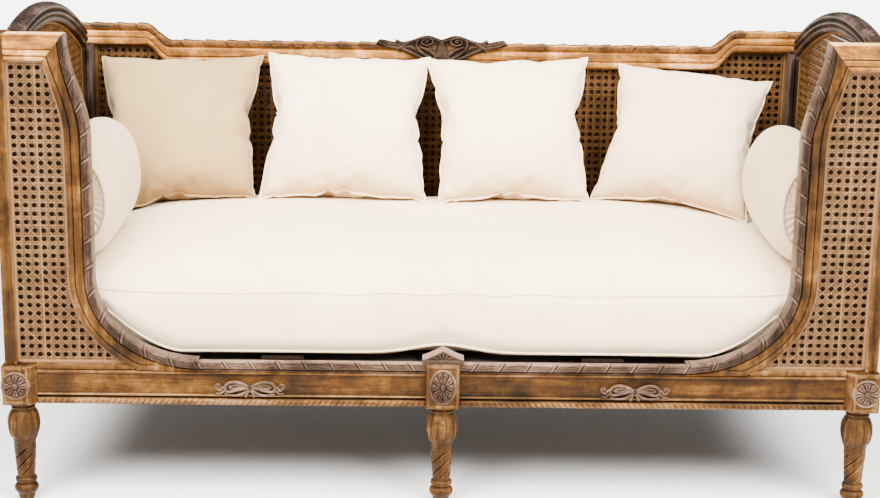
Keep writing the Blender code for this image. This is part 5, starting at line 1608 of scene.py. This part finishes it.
    def build(self) -> None:
        """Crest, carving, posts, sill, rear rails, cane and binder."""
        fixed("carved_crest", self.crest(), GOLD_PAINTED_HIGHLIGHT, "crest_rail")
        fixed("scrolled_carving", self.carving(), SMOKED_CARVING, "crest_carving")
        for side in Side:
            fixed("reeded_post_" + side.label, self.post(side), DARK_UPRIGHT, "back_post_" + side.label)
            low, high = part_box("rear_rail_" + side.label)
            section = FrontRail(side).section()[2:] * (0.80, 1.0)
            plan = grid(high[1] - np.clip(section[:, 0] + 0.0004, 0.0, 0.0340), low[2] + section[:, 1])
            plan = np.concatenate([np.array([(low[1], low[2] + 0.0015), (low[1], high[2] - 0.0015)]), plan])
            fixed(
                "moulded_rear_rail_" + side.label, bar(plan, np.linspace(low[0], high[0], 60), 0, 0.0008),
                DARK_ALONG, "rear_rail_" + side.label
            )
        low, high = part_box("back_sill")
        step, middle = 0.003, (low[1] + high[1]) / 2.0
        half = np.array([
            (high[1], low[2]), (high[1], high[2] - 0.010), (high[1] - step, high[2] - 0.008),
            (high[1] - step, high[2]),
        ])
        plan = rounded(np.concatenate([half, half[::-1] * (-1.0, 1.0) + (2.0 * middle, 0.0)]), 0.002)
        fixed(
            "moulded_back_sill", bar(plan, np.linspace(low[0], high[0], 80), 0, 0.0008), DARK_ALONG,
            "back_sill"
        )

        def place(u: Array, v: Array, out: Array) -> Array:
            """A place in the back's plane, moved forward by its height."""
            return grid(u, self.sill_y - out, v)

        weave = CaneWeave((-0.864, 0.334), (0.866, 0.892), self.cane_inside, place)
        x = np.linspace(-PLAN.inner_half + 0.002, PLAN.inner_half - 0.002, 260)
        head = grid(x, self.foot(x) - 0.002)
        loop = np.concatenate([head, [(x[-1], PLAN.binder_foot), (x[0], PLAN.binder_foot)]])
        fixed("back_cane_woven", weave.lattice() + weave.binder(loop), GOLD_CANE_PARTLY_SHADED, "back_cane")
        fixed("back_cane_slanted", weave.diagonals(), GOLD_CANE_PARTLY_SHADED)
        fixed("back_cane_lining", weave.lining(), LINING_CANE_SHADE)


@dataclass
class CentreCap:
    """The small pediment on the centre block, with a fan of leaves under its hollow slopes."""

    node: str = "centre_cap"
    band: float = 0.010

    def build(self) -> None:
        """A loft: slopes fall as a power of the distance from the peak, and rays raise the face."""
        low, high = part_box(self.node)
        half, rise = (high[0] - low[0]) / 2.0, high[2] - low[2]
        x = np.linspace(-half, half, 90)[:, None]
        top = low[2] + self.band + (rise - self.band) * (1.0 - np.abs(x) / half) ** 1.25
        height = low[2] + (top - low[2]) * np.linspace(0.0, 1.0, 40)[None]
        below = top - height
        ray = np.arctan2(x, height - low[2] - self.band * 0.6)
        fan = ease((height - low[2] - self.band) / 0.003) * ease((below - 0.003) / 0.003)
        relief = 0.0014 * np.cos(11.0 * ray) * fan + 0.0016 * bell(below - 0.0022, 0.0016) - 0.0018
        relief += beads(height - low[2], (-0.0016, self.band, 0.0012), (0.0012, 0.0045, 0.0030))
        front = grid(x, low[1] - relief, height)
        behind = front[:, [-1, 20, 0]].copy()
        behind[:, :, 1] = high[1]
        fixed(
            "carved_cap", loft(np.concatenate([front, behind], axis=1), reach=0.0005), LIMED_CARVING,
            self.node
        )


@dataclass
class Deck:
    """The hidden deck of slats, ledgers and braces, kept from the part with sawn wood whose near-black tones
    are painted shade.
    """

    stems: tuple[str, ...] = ("seat_slat", "front_ledger", "rear_ledger", "front_brace", "rear_brace")
    shade_sheet_half: float = 0.855
    shade_sheet_front: float = -0.3605
    shade_sheet_back: float = 0.3840
    shade_sheet_foot: float = 0.29875
    shade_sheet_top: float = 0.29895

    def build(self) -> None:
        """Give each deck node the sawn wood and lay a near-black sheet on the ledgers, under the slats:
        painted shade for the gap below the cushion.
        """
        for name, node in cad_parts.items():
            if name.startswith(self.stems):
                node.data.materials.clear()
                node.data.materials.append(DECK_WOOD_SHADED.material())
                LOG.info("%s: kept, bare wood", name)
        span, deep = np.linspace(-self.shade_sheet_half, self.shade_sheet_half, 40), self.shade_sheet_back - self.shade_sheet_front
        front, back, low, high = self.shade_sheet_front, self.shade_sheet_back, self.shade_sheet_foot, self.shade_sheet_top
        section = np.array([(front, low), (back, low), (back, high), (front, high)])
        rings = grid(span[:, None], section[:, 0], section[:, 1])
        # Painted shade: a near-black sheet in the gap below the cushion.
        cloth = fixed("deck_sheet_painted_shade", loft(rings, PLAIN_TONE), DECK_SHADE_SHEET)


CLOTH_SETTINGS = {
    "quality": 6, "mass": 0.25, "tension_stiffness": 15.0, "compression_stiffness": 15.0,
    "shear_stiffness": 6.0, "bending_stiffness": 0.25, "air_damping": 2.0, "use_pressure": True,
}


def swollen(name: str, skin: Skin, pressure: float, frames: int, cap: float) -> Array:
    """Cloth blown out from inside for some frames, without weight.

    Args:
        name: Name for the passing mesh.
        skin: The cloth before it is filled.
        pressure: Force of the filling.
        frames: Number of frames stepped.
        cap: Farthest that a point may move.

    Returns:
        The places of the points, as filled.
    """
    scene = bpy.context.scene
    mesh = bpy.data.meshes.new(name)
    mesh.from_pydata(skin.points.tolist(), [], skin.faces())
    cloth = bpy.data.objects.new(name, mesh)
    scene.collection.objects.link(cloth)
    filling = cloth.modifiers.new("filling", "CLOTH")
    setup = filling.settings
    for key, value in CLOTH_SETTINGS.items():
        setattr(setup, key, value)
    setup.uniform_pressure_force = pressure
    setup.effector_weights.gravity = 0.0
    filling.collision_settings.use_collision = False
    filling.point_cache.frame_start = 1
    filling.point_cache.frame_end = frames
    for number in range(1, frames + 1):
        scene.frame_set(number)
    shown = cloth.evaluated_get(bpy.context.evaluated_depsgraph_get()).to_mesh()
    places = np.empty(len(mesh.vertices) * 3, dtype=np.float32)
    shown.vertices.foreach_get("co", places)
    places = places.reshape(-1, 3).astype(float)
    bpy.data.objects.remove(cloth)
    bpy.data.meshes.remove(mesh)
    scene.frame_set(1)
    move = places - skin.points
    size = np.linalg.norm(move, axis=1, keepdims=True)
    return skin.points + move * np.minimum(1.0, cap / np.maximum(size, 1e-9))


def softened(piece: bpy.types.Object) -> bpy.types.Object:
    """One subdivision, the same in view and render."""
    rounding = piece.modifiers.new("rounding", "SUBSURF")
    rounding.levels = rounding.render_levels = 1
    return piece


def clearances(points: Array, tree: BVHTree) -> list[Optional[float]]:
    """Height of each point over the seat, or None beside it."""
    hits = [tree.ray_cast((x, y, 2.0), (0.0, 0.0, -1.0))[0] for x, y, _ in points]
    return [None if hit is None else point[2] - hit[2] for point, hit in zip(points, hits)]


def drop_on(points: Array, tree: BVHTree) -> Array:
    """Move a soft form up or down until its lowest clearance over the seat is a small gap."""
    under = points[points[:, 2] < points[:, 2].min() + 0.12]
    clear = [part for part in clearances(under, tree) if part is not None]
    return points + (0.0, 0.0, HOVER - min(clear)) if clear else points


@dataclass
class SeatCushion:
    """One boxed seat cushion: high crown, flat foot, boxing between two welts."""

    node: str = "seat_cushion"
    half_width: float = 0.861
    front: float = -0.35535
    back: float = 0.36465
    foot: float = 0.3173
    edge: float = 0.4600
    crown: float = 0.100
    columns: int = 260
    welt: float = 0.0036
    welted: tuple[int, ...] = ()

    def outline(self) -> Array:
        """Plan of the cushion in even steps: a full-cornered rectangle, from powers of sine and cosine."""
        turn = np.linspace(0.0, FULL_TURN, 4001)
        power = 2.0 / 9.0
        x = self.half_width * np.sign(np.cos(turn)) * np.abs(np.cos(turn)) ** power
        y = (self.back - self.front) / 2.0 * np.sign(np.sin(turn)) * np.abs(np.sin(turn)) ** power
        plan = grid(x, y)
        runs = running(plan)
        return at_lengths(plan, runs, np.linspace(0.0, runs[-1], self.columns + 1)[:-1])

    def shape(self) -> tuple[Array, Array]:
        """Rings from the middle of the foot, out and up the boxing, and in over the crown.

        Each ring is the plan drawn in by a share. The crown rises with the product of one less a power of
        each distance from the middle. Along the front the foot of the boxing rides up over the swept ends
        of the border and over the cap.

        Returns:
            The rings and the cloth place of each point.
        """
        plan = self.outline()
        half_depth = (self.back - self.front) / 2.0
        foot_shares = np.array([0.03, 0.20, 0.40, 0.58, 0.72, 0.84, 0.92, 0.960, 0.976])
        foot_levels = np.array([0.0, 0.0, 0.0, 0.0, 0.0, 0.0, 0.0, 0.0004, 0.0015])
        side = np.linspace(0.0, 1.0, 11)
        side_shares = 0.984 + 0.016 * np.sin(math.pi * side) ** 0.8
        side_levels = 0.006 + (self.edge - self.foot - 0.006) * side
        top_shares = np.concatenate([[0.978], np.linspace(0.965, 0.03, 27)])
        shares = np.concatenate([foot_shares, side_shares, top_shares])
        levels = np.concatenate([foot_levels, side_levels, np.full(len(top_shares), self.edge - self.foot)])
        low, top = len(foot_shares), len(foot_shares) + len(side)
        self.welted = (low, top - 1)
        x = plan[None, :, 0] * shares[:, None]
        y = plan[None, :, 1] * shares[:, None]
        z = np.broadcast_to(levels[:, None], x.shape).copy()
        fall = 1.0 - np.clip(np.abs(x) / self.half_width, 0.0, 1.0) ** 4.5
        fall = fall * (1.0 - np.clip(np.abs(y) / half_depth, 0.0, 1.0) ** 3.3)
        crown = self.crown * np.clip(fall, 0.0, 1.0) ** 0.72
        z[top:] += crown[top:]
        reach = np.clip((np.abs(x) - Wing.sweep_x) / (Wing.sweep_width + 0.0045), 0.0, 0.985)
        border = Wing.sweep_z - Wing.sweep_height * np.sqrt(1.0 - reach**2) - self.foot
        target = np.maximum(border - 0.010, 0.0) * ease((np.abs(x) - 0.50) / 0.08) + 0.017 * bell(x, 0.085)
        near = ease((-half_depth + 0.050 - y) / 0.045)
        limit = self.edge - self.foot
        squeeze = np.clip((limit - 0.022 - target) / (limit - 0.022), 0.15, 1.0)
        below = z < limit
        lifted = limit - (limit - z) * squeeze
        z = np.where(below, z + (lifted - z) * near, z)
        ripple = 0.0022 * np.sin(23.0 * x + 4.0 * np.sin(5.0 * x)) * bell(z - limit, 0.03)
        fold = 0.0050 * np.sin(62.0 * (np.abs(x) - 0.35 * y)) * bell(np.abs(x) - 0.79, 0.05)
        z = z + ripple * ease((-half_depth + 0.06 - y) / 0.06) + fold * ease((z - limit * 0.6) / 0.04)
        points = grid(x, y + (self.front + self.back) / 2.0, z + self.foot)
        around = np.linspace(0.0, 2.0 * (self.half_width + half_depth) * 1.9, self.columns + 1)
        flat = np.concatenate([points[:, :, :2], points[:, :1, :2]], axis=1)
        boxing = grid(around, levels[:, None])
        rows = np.arange(len(shares))[:, None, None]
        cloth = np.where((rows >= low) & (rows < top), boxing, flat)
        return points, cloth

    def build(self) -> BVHTree:
        """Returns:
            The cushion's surface, for the pieces that lie on it.
        """
        rings, cloth = self.shape()
        skin = loft(rings, PLAIN_TONE, uv=cloth)
        filled = swollen("seat_filling", skin, pressure=0.9, frames=14, cap=0.007)
        filled[:, 2] = np.maximum(filled[:, 2], self.foot)
        filled[:, 0] = np.clip(filled[:, 0], -self.half_width, self.half_width)
        filled[:, 1] = np.clip(filled[:, 1], self.front, self.back)
        skin.points = filled
        piece = put("boxed_seat", skin, CREAM_LINEN, self.node, [self.node], SMOOTH)
        rows = filled.reshape(rings.shape)
        welts = []
        for ring in self.welted:
            line = (2.0 * rows[ring] + np.roll(rows[ring], 1, axis=0) + np.roll(rows[ring], -1, axis=0)) / 4.0
            middle = np.array([0.0, (self.front + self.back) / 2.0, 0.0])
            line = middle + (line - middle) * (0.9995, 0.9985, 1.0)
            welts.append(tube(line, self.welt, 8, 1.0, True, (0.0, 0.0, 1.0)))
        put("seat_welts", joined(welts), CREAM_LINEN, self.node, (), SMOOTH)
        return BVHTree.FromPolygons(filled.tolist(), skin.faces())


@dataclass
class Bolster:
    """A plump bolster with piped, pleated ends, wedged along the arm."""

    side: Side
    pleats: int = 30
    seam: float = 0.70

    def build(self, tree: BVHTree) -> None:
        """Rings along the bolster: a rounded line of width and length, pleats as a cosine round the ends.

        Args:
            tree: Surface of the seat that it lies on.
        """
        node = "bolster_" + self.side.label
        low, high = (np.array(corner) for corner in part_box(node))
        middle, half = (low + high) / 2.0, (high - low) / 2.0
        long = half[1]
        drops = [
            (0.03, 0.0150), (0.10, 0.0115), (0.30, 0.0085), (0.52, 0.0060), (self.seam, 0.0050),
            (0.775, 0.0075), (0.855, 0.0180), (0.925, 0.0370), (0.972, 0.0640), (0.994, 0.105), (1.0, long),
        ]
        line = np.array([(share, long - drop) for share, drop in drops])
        line = np.concatenate([line, line[-2::-1] * (1.0, -1.0)])
        path = resampled(smooth_line(line) * (half[0] + half[2], 2.0), 0.0100)
        width, along = path[:, 0] / (half[0] + half[2]), path[:, 1] / 2.0
        turn = round_turn(150)
        grid_turn, grid_width = np.meshgrid(turn, width)
        grid_along = np.broadcast_to(along[:, None], grid_turn.shape)
        face = ease((self.seam - grid_width) / 0.10) * ease(grid_width / 0.12)
        wave = np.cos(self.pleats * grid_turn + 0.6 * np.sin(3.0 * grid_turn))
        pleat = -0.0030 * face * (0.5 - 0.5 * wave) * np.sign(grid_along)
        drawn = bell(np.abs(grid_along) - long + 0.012, 0.020) * (grid_width > self.seam)
        gather = 1.0 + 0.009 * wave * drawn
        soft = (
            0.010 * np.sin(2.0 * grid_turn + 9.0 * grid_along)
            + 0.006 * np.sin(5.0 * grid_turn - 14.0 * grid_along)
        )
        size = 0.985 * (1.0 + soft) * grid_width * gather
        x = middle[0] + half[0] * size * np.cos(grid_turn)
        z = middle[2] + half[2] * size * np.sin(grid_turn)
        rings = grid(x, middle[1] + grid_along + pleat, z)
        around = np.linspace(0.0, FULL_TURN * (half[0] + half[2]) / 2.0, 151)
        cloth = grid(around, along[:, None])
        skin = loft(rings, PLAIN_TONE, uv=cloth)
        skin.points = swollen("bolster_filling", skin, pressure=1.4, frames=12, cap=0.005)
        skin.points = drop_on(skin.points, tree)
        rows = skin.points.reshape(rings.shape)
        put("stuffed_bolster_" + self.side.label, skin, BOLSTER_LINEN_SHADED, node, [node], SMOOTH)
        seams = [
            int(np.argmin(np.abs(width - self.seam) + 9.0 * (np.sign(along) != way))) for way in (1.0, -1.0)
        ]
        cords = [tube(rows[seam], 0.0036, 8, 1.0, True, (0.0, 1.0, 0.0)) for seam in seams]
        put("bolster_piping_" + self.side.label, joined(cords), BOLSTER_LINEN_SHADED, node, (), SMOOTH)


FOLD_SPANS = ((-0.85, 0.85), (-0.5, 0.5), (0.05, 0.10), (0.25, 0.75), (0.0020, 0.0085))


@dataclass
class Pillow:
    """A knife-edge scatter pillow with piping, leaning on the back."""

    node: str
    lean: float
    turn: float
    roll: float
    finish: BrushedLinen
    seed: int
    size: float = 0.396
    thick: float = 0.160
    bow: float = 0.008
    tuck: float = 0.0
    cells: int = 52
    heavy: float = 0.10
    folds: int = 6

    def cloth(self) -> tuple[Skin, Array, Array]:
        """Two square sheets, cut with their sides bowed out, sewn round their edge a little apart.

        Returns:
            The sewn cloth, the vertex numbers along its seam in order, and each point's place on its
            sheet, from -1 to 1.
        """
        n = self.cells + 1
        share = np.linspace(-1.0, 1.0, n)
        u, v = np.meshgrid(share, share)
        pinch, filled = ((-self.bow, 0.62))
        x = u * self.size / 2.0 * (1.0 - pinch * (1.0 - v**2))
        y = v * self.size / 2.0 * (1.0 - pinch * (1.0 - u**2))
        rise = ((1.0 - u**2) * (1.0 - v**2)) ** 0.5 * self.thick / 2.0 * filled
        index = np.arange(n * n).reshape(n, n)
        lower = index.copy()
        lower[1:-1, 1:-1] = n * n + np.arange((n - 2) ** 2).reshape(n - 2, n - 2)
        points = np.concatenate([
            grid(x, y, rise).reshape(-1, 3), grid(x, y, -rise)[1:-1, 1:-1].reshape(-1, 3)
        ])
        quads = [
            grid(sheet[:-1, :-1], sheet[:-1, 1:], sheet[1:, 1:], sheet[1:, :-1]).reshape(-1, 4)
            for sheet in (index, lower)
        ]
        corners = np.concatenate([quads[0], quads[1][:, ::-1]])
        sheet = grid(u, v)
        spot = sheet.reshape(-1, 2)
        flat = spot * self.size / 2.0
        place = np.concatenate([flat[quads[0]], flat[quads[0]][:, ::-1] + (0.0, self.size)])
        seam = np.concatenate([index[0, :-1], index[:-1, -1], index[-1, :0:-1], index[:0:-1, 0]])
        skin = Skin(
            points, corners.ravel(), np.full(len(corners), 4), np.full(len(points), PLAIN_TONE),
            place.reshape(-1, 2)
        )
        return skin, seam, np.concatenate([spot, sheet[1:-1, 1:-1].reshape(-1, 2)])

    def puckered(self, points: Array, spot: Array) -> Array:
        """Folds that run in from the seams: each a groove on an edge, wider and shallower inwards.

        Args:
            points: The filled cloth.
            spot: Place of each point on its sheet.

        Returns:
            The cloth with its folds, and its edge drawn in where each begins.
        """
        dice = np.random.default_rng(self.seed)
        fold = np.zeros(len(spot))
        for way in (0, 1):
            for end in (-1.0, 1.0):
                inward = 1.0 - end * spot[:, way]
                site, slant, width, run, deep = (dice.uniform(*span, (self.folds, 1)) for span in FOLD_SPANS)
                off = (spot[:, 1 - way] - site - slant * inward) / (width * (1.0 + 1.6 * inward))
                fold += (deep * np.exp(-(off**2) - (inward / run) ** 2)).sum(axis=0)
        inside = 1.0 - np.abs(spot).max(axis=1)
        face = np.where(np.arange(len(spot)) < (self.cells + 1) ** 2, 1.0, -1.0)
        moved = points.copy()
        moved[:, :2] -= spot * (0.45 * fold * np.exp(-8.0 * inside))[:, None]
        moved[:, 2] -= face * fold * (1.0 - np.exp(-inside / 0.06))
        moved[:, 0] *= 1.0 - self.tuck * (1.0 - spot[:, 1]) / 2.0
        return moved

    def painted_shade(self, spot: Array) -> Array:
        """Painted shade of the cloth: none in the middle, deeper along the seams, where the pillow turns
        away, and towards the lower edge, which faces down.
        """
        inside = 1.0 - np.abs(spot).max(axis=1)
        low = np.clip(-spot[:, 1], 0.0, 1.0) ** 2.5
        return np.clip(0.48 - 0.15 * np.exp(-inside / 0.10) - 0.28 * low, 0.0, 1.0)

    def settled(self, points: Array, spot: Array, tree: BVHTree) -> Array:
        """Let the lower edge follow the seat: each column comes down by its own least clearance.

        Args:
            points: The pillow, already touching the seat at one place.
            spot: Place of each point on its sheet.
            tree: Surface of the seat.

        Returns:
            The pillow resting along its lower edge, moved less and less upwards.
        """
        clear = np.array([1.0 if part is None else part for part in clearances(points, tree)])
        column = np.rint((spot[:, 0] + 1.0) / 2.0 * self.cells).astype(int)
        least = np.ones(self.cells + 1)
        np.minimum.at(least, column, clear)
        down = np.clip(least - 0.0008, 0.0, 0.03)[column] * ((1.0 - spot[:, 1]) / 2.0) ** 2
        return points - down[:, None] * (0.0, 0.0, 1.0)

    def build(self, tree: BVHTree) -> None:
        """Fill the cloth, bring it to its size, pucker it, let it sag, lean it and set it down on the seat.

        Args:
            tree: Surface of the seat that it stands on.
        """
        skin, seam, spot = self.cloth()
        filled = swollen("pillow_filling", skin, pressure=2.5, frames=20, cap=0.06)
        reach = filled.max(axis=0) - filled.min(axis=0)
        filled = self.puckered(filled * (np.array([self.size, self.size, self.thick]) / reach), spot)
        filled[:, 2] *= 1.0 - self.heavy * spot[:, 1]
        turn, tilt, roll = (
            Matrix.Rotation(math.radians(angle), 3, axis)
            for angle, axis in ((self.turn, "Z"), (90.0 - self.lean, "X"), (self.roll, "Z"))
        )
        spin = np.array(turn @ tilt @ roll)
        low, high = (np.array(corner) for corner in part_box(self.node))
        placed = filled @ spin.T + (low + high) / 2.0
        placed[:, 1] -= max(placed[:, 1].max() - high[1], 0.0)
        skin.points = self.settled(drop_on(placed, tree), spot, tree)
        # Painted shade along the seams and towards the lower edge.
        skin.wear = self.painted_shade(spot)
        piece = softened(put("stuffed_" + self.node, skin, self.finish, self.node, [self.node], SMOOTH))
        cord = tube(skin.points[seam], 0.0032, 8, 1.0, True, tuple(spin[:, 2]))
        put("piping_" + self.node, cord, self.finish, self.node, (), SMOOTH)


@dataclass
class Studio:
    """White floor, soft lamps and the camera at the photograph's angle."""

    place: Place = (-0.073, -3.94535, 1.4596)
    yaw: float = math.radians(1.0115)
    pitch: float = math.radians(14.044)
    roll: float = math.radians(0.884)
    focal: float = 1745.47
    image_width: int = 880
    sensor: float = 36.0
    floor: StudioFloor = StudioFloor("studio_floor", (0.88, 0.85, 0.83))

    def lamp(
        self, name: str, place: Place, aim: Place, size: float, power: float, tint: Colour = WHITE
    ) -> None:
        """A square soft lamp at a place, turned towards a point."""
        data = bpy.data.lights.new(name, "AREA")
        data.size = size
        data.energy = power
        data.color = tint
        lamp = bpy.data.objects.new(name, data)
        way = Vector(place) - Vector(aim)
        lamp.matrix_world = Matrix.Translation(place) @ way.to_track_quat("Z", "Y").to_matrix().to_4x4()
        bpy.context.scene.collection.objects.link(lamp)

    def build(self) -> None:
        """Floor, world, lamps and camera."""
        mesh = bpy.data.meshes.new("floor")
        mesh.from_pydata(
            [(-14.0, -8.0, 0.0), (14.0, -8.0, 0.0), (14.0, 22.0, 0.0), (-14.0, 22.0, 0.0)], [],
            [(0, 1, 2, 3)]
        )
        mesh.materials.append(self.floor.material())
        floor = bpy.data.objects.new("floor", mesh)
        bpy.context.scene.collection.objects.link(floor)
        world = bpy.data.worlds.new("studio")
        world.use_nodes = True
        sky = world.node_tree.nodes["Background"].inputs
        sky[0].default_value = (*WHITE, 1.0)
        sky[1].default_value = 0.32
        bpy.context.scene.world = world
        self.lamp("lamp_left", (-2.2, -3.0, 4.0), (-0.1, 0.0, 0.5), 2.7, 1000.0, (1.0, 0.985, 0.96))
        self.lamp("lamp_right", (2.4, -2.8, 3.7), (0.1, 0.0, 0.5), 2.7, 820.0)
        self.lamp("lamp_above", (0.0, -0.9, 3.8), (0.0, 0.0, 0.4), 3.0, 420.0)
        yaw, pitch, roll = self.yaw, self.pitch, self.roll
        ahead = np.array([math.sin(yaw) * math.cos(pitch), math.cos(yaw) * math.cos(pitch), -math.sin(pitch)])
        right = np.array([math.cos(yaw), -math.sin(yaw), 0.0])
        up = np.cross(right, ahead)
        across = math.cos(roll) * right + math.sin(roll) * up
        upright = -math.sin(roll) * right + math.cos(roll) * up
        turn = np.eye(4)
        turn[:3, 0], turn[:3, 1], turn[:3, 2], turn[:3, 3] = across, upright, -ahead, self.place
        data = bpy.data.cameras.new("camera")
        data.sensor_fit = "HORIZONTAL"
        data.sensor_width = self.sensor
        data.lens = self.focal / self.image_width * self.sensor
        camera = bpy.data.objects.new("camera", data)
        camera.matrix_world = Matrix(turn.tolist())
        bpy.context.scene.collection.objects.link(camera)
        bpy.context.scene.camera = camera


def main() -> None:
    """Build the settee piece by piece and note its size."""
    logging.basicConfig(level=logging.INFO, format="%(message)s")
    Studio().build()
    front, rear = PLAN.front_leg_y, PLAN.rear_leg_y
    corner = (front, front, 0.072, 0.072, 0.310)
    inner = (rear, rear, 0.060, 0.060, 0.300, False)
    legs = [
        Leg("front_leg_left", -PLAN.leg_x, *corner, inner_side=1),
        Leg("front_leg_right", PLAN.leg_x, *corner, inner_side=-1),
        Leg("front_leg_centre", 0.0, front, -0.38735, 0.072, 0.052, PLAN.border_top),
        Leg("rear_leg_left", -PLAN.rear_leg_x, *inner, bulb=PLAN.rear_bulb),
        Leg("rear_leg_right", PLAN.rear_leg_x, *inner, bulb=PLAN.rear_bulb),
        Leg("rear_leg_centre", 0.0, rear, 0.40365, 0.060, 0.036, 0.300, False, bulb=PLAN.rear_bulb),
    ]
    for leg in legs:
        leg.build()
    for rosette in (
        Rosette("rosette_left", -0.907, 0.266, 0.025, 0.025),
        Rosette("rosette_right", 0.907, 0.266, 0.025, 0.025),
        Rosette("rosette_centre", 0.0, 0.272, 0.0235, 0.0335, petals=10)
    ):
        rosette.build()
    CentreCap().build()
    for side in Side:
        FrontRail(side).build()
        Bow(side).build()
        Wing(side).build()
        Arm(side).build()
    Back().build()
    Deck().build()
    tree = SeatCushion().build()
    for side in Side:
        Bolster(side).build(tree)
    for pillow in (
        Pillow("pillow_far_left", 39.0, 0.0, 1.5, SAND_LINEN, 3, tuck=0.06),
        Pillow("pillow_mid_left", 39.0, 0.0, -1.0, CREAM_LINEN, 8),
        Pillow("pillow_mid_right", 39.0, 0.0, 1.5, CREAM_LINEN, 13, tuck=0.10),
        Pillow("pillow_far_right", 41.0, -13.0, -5.0, CREAM_LINEN_SHADED, 21, size=0.376),
    ):
        pillow.build(tree)


if __name__ == "__main__":
    main()
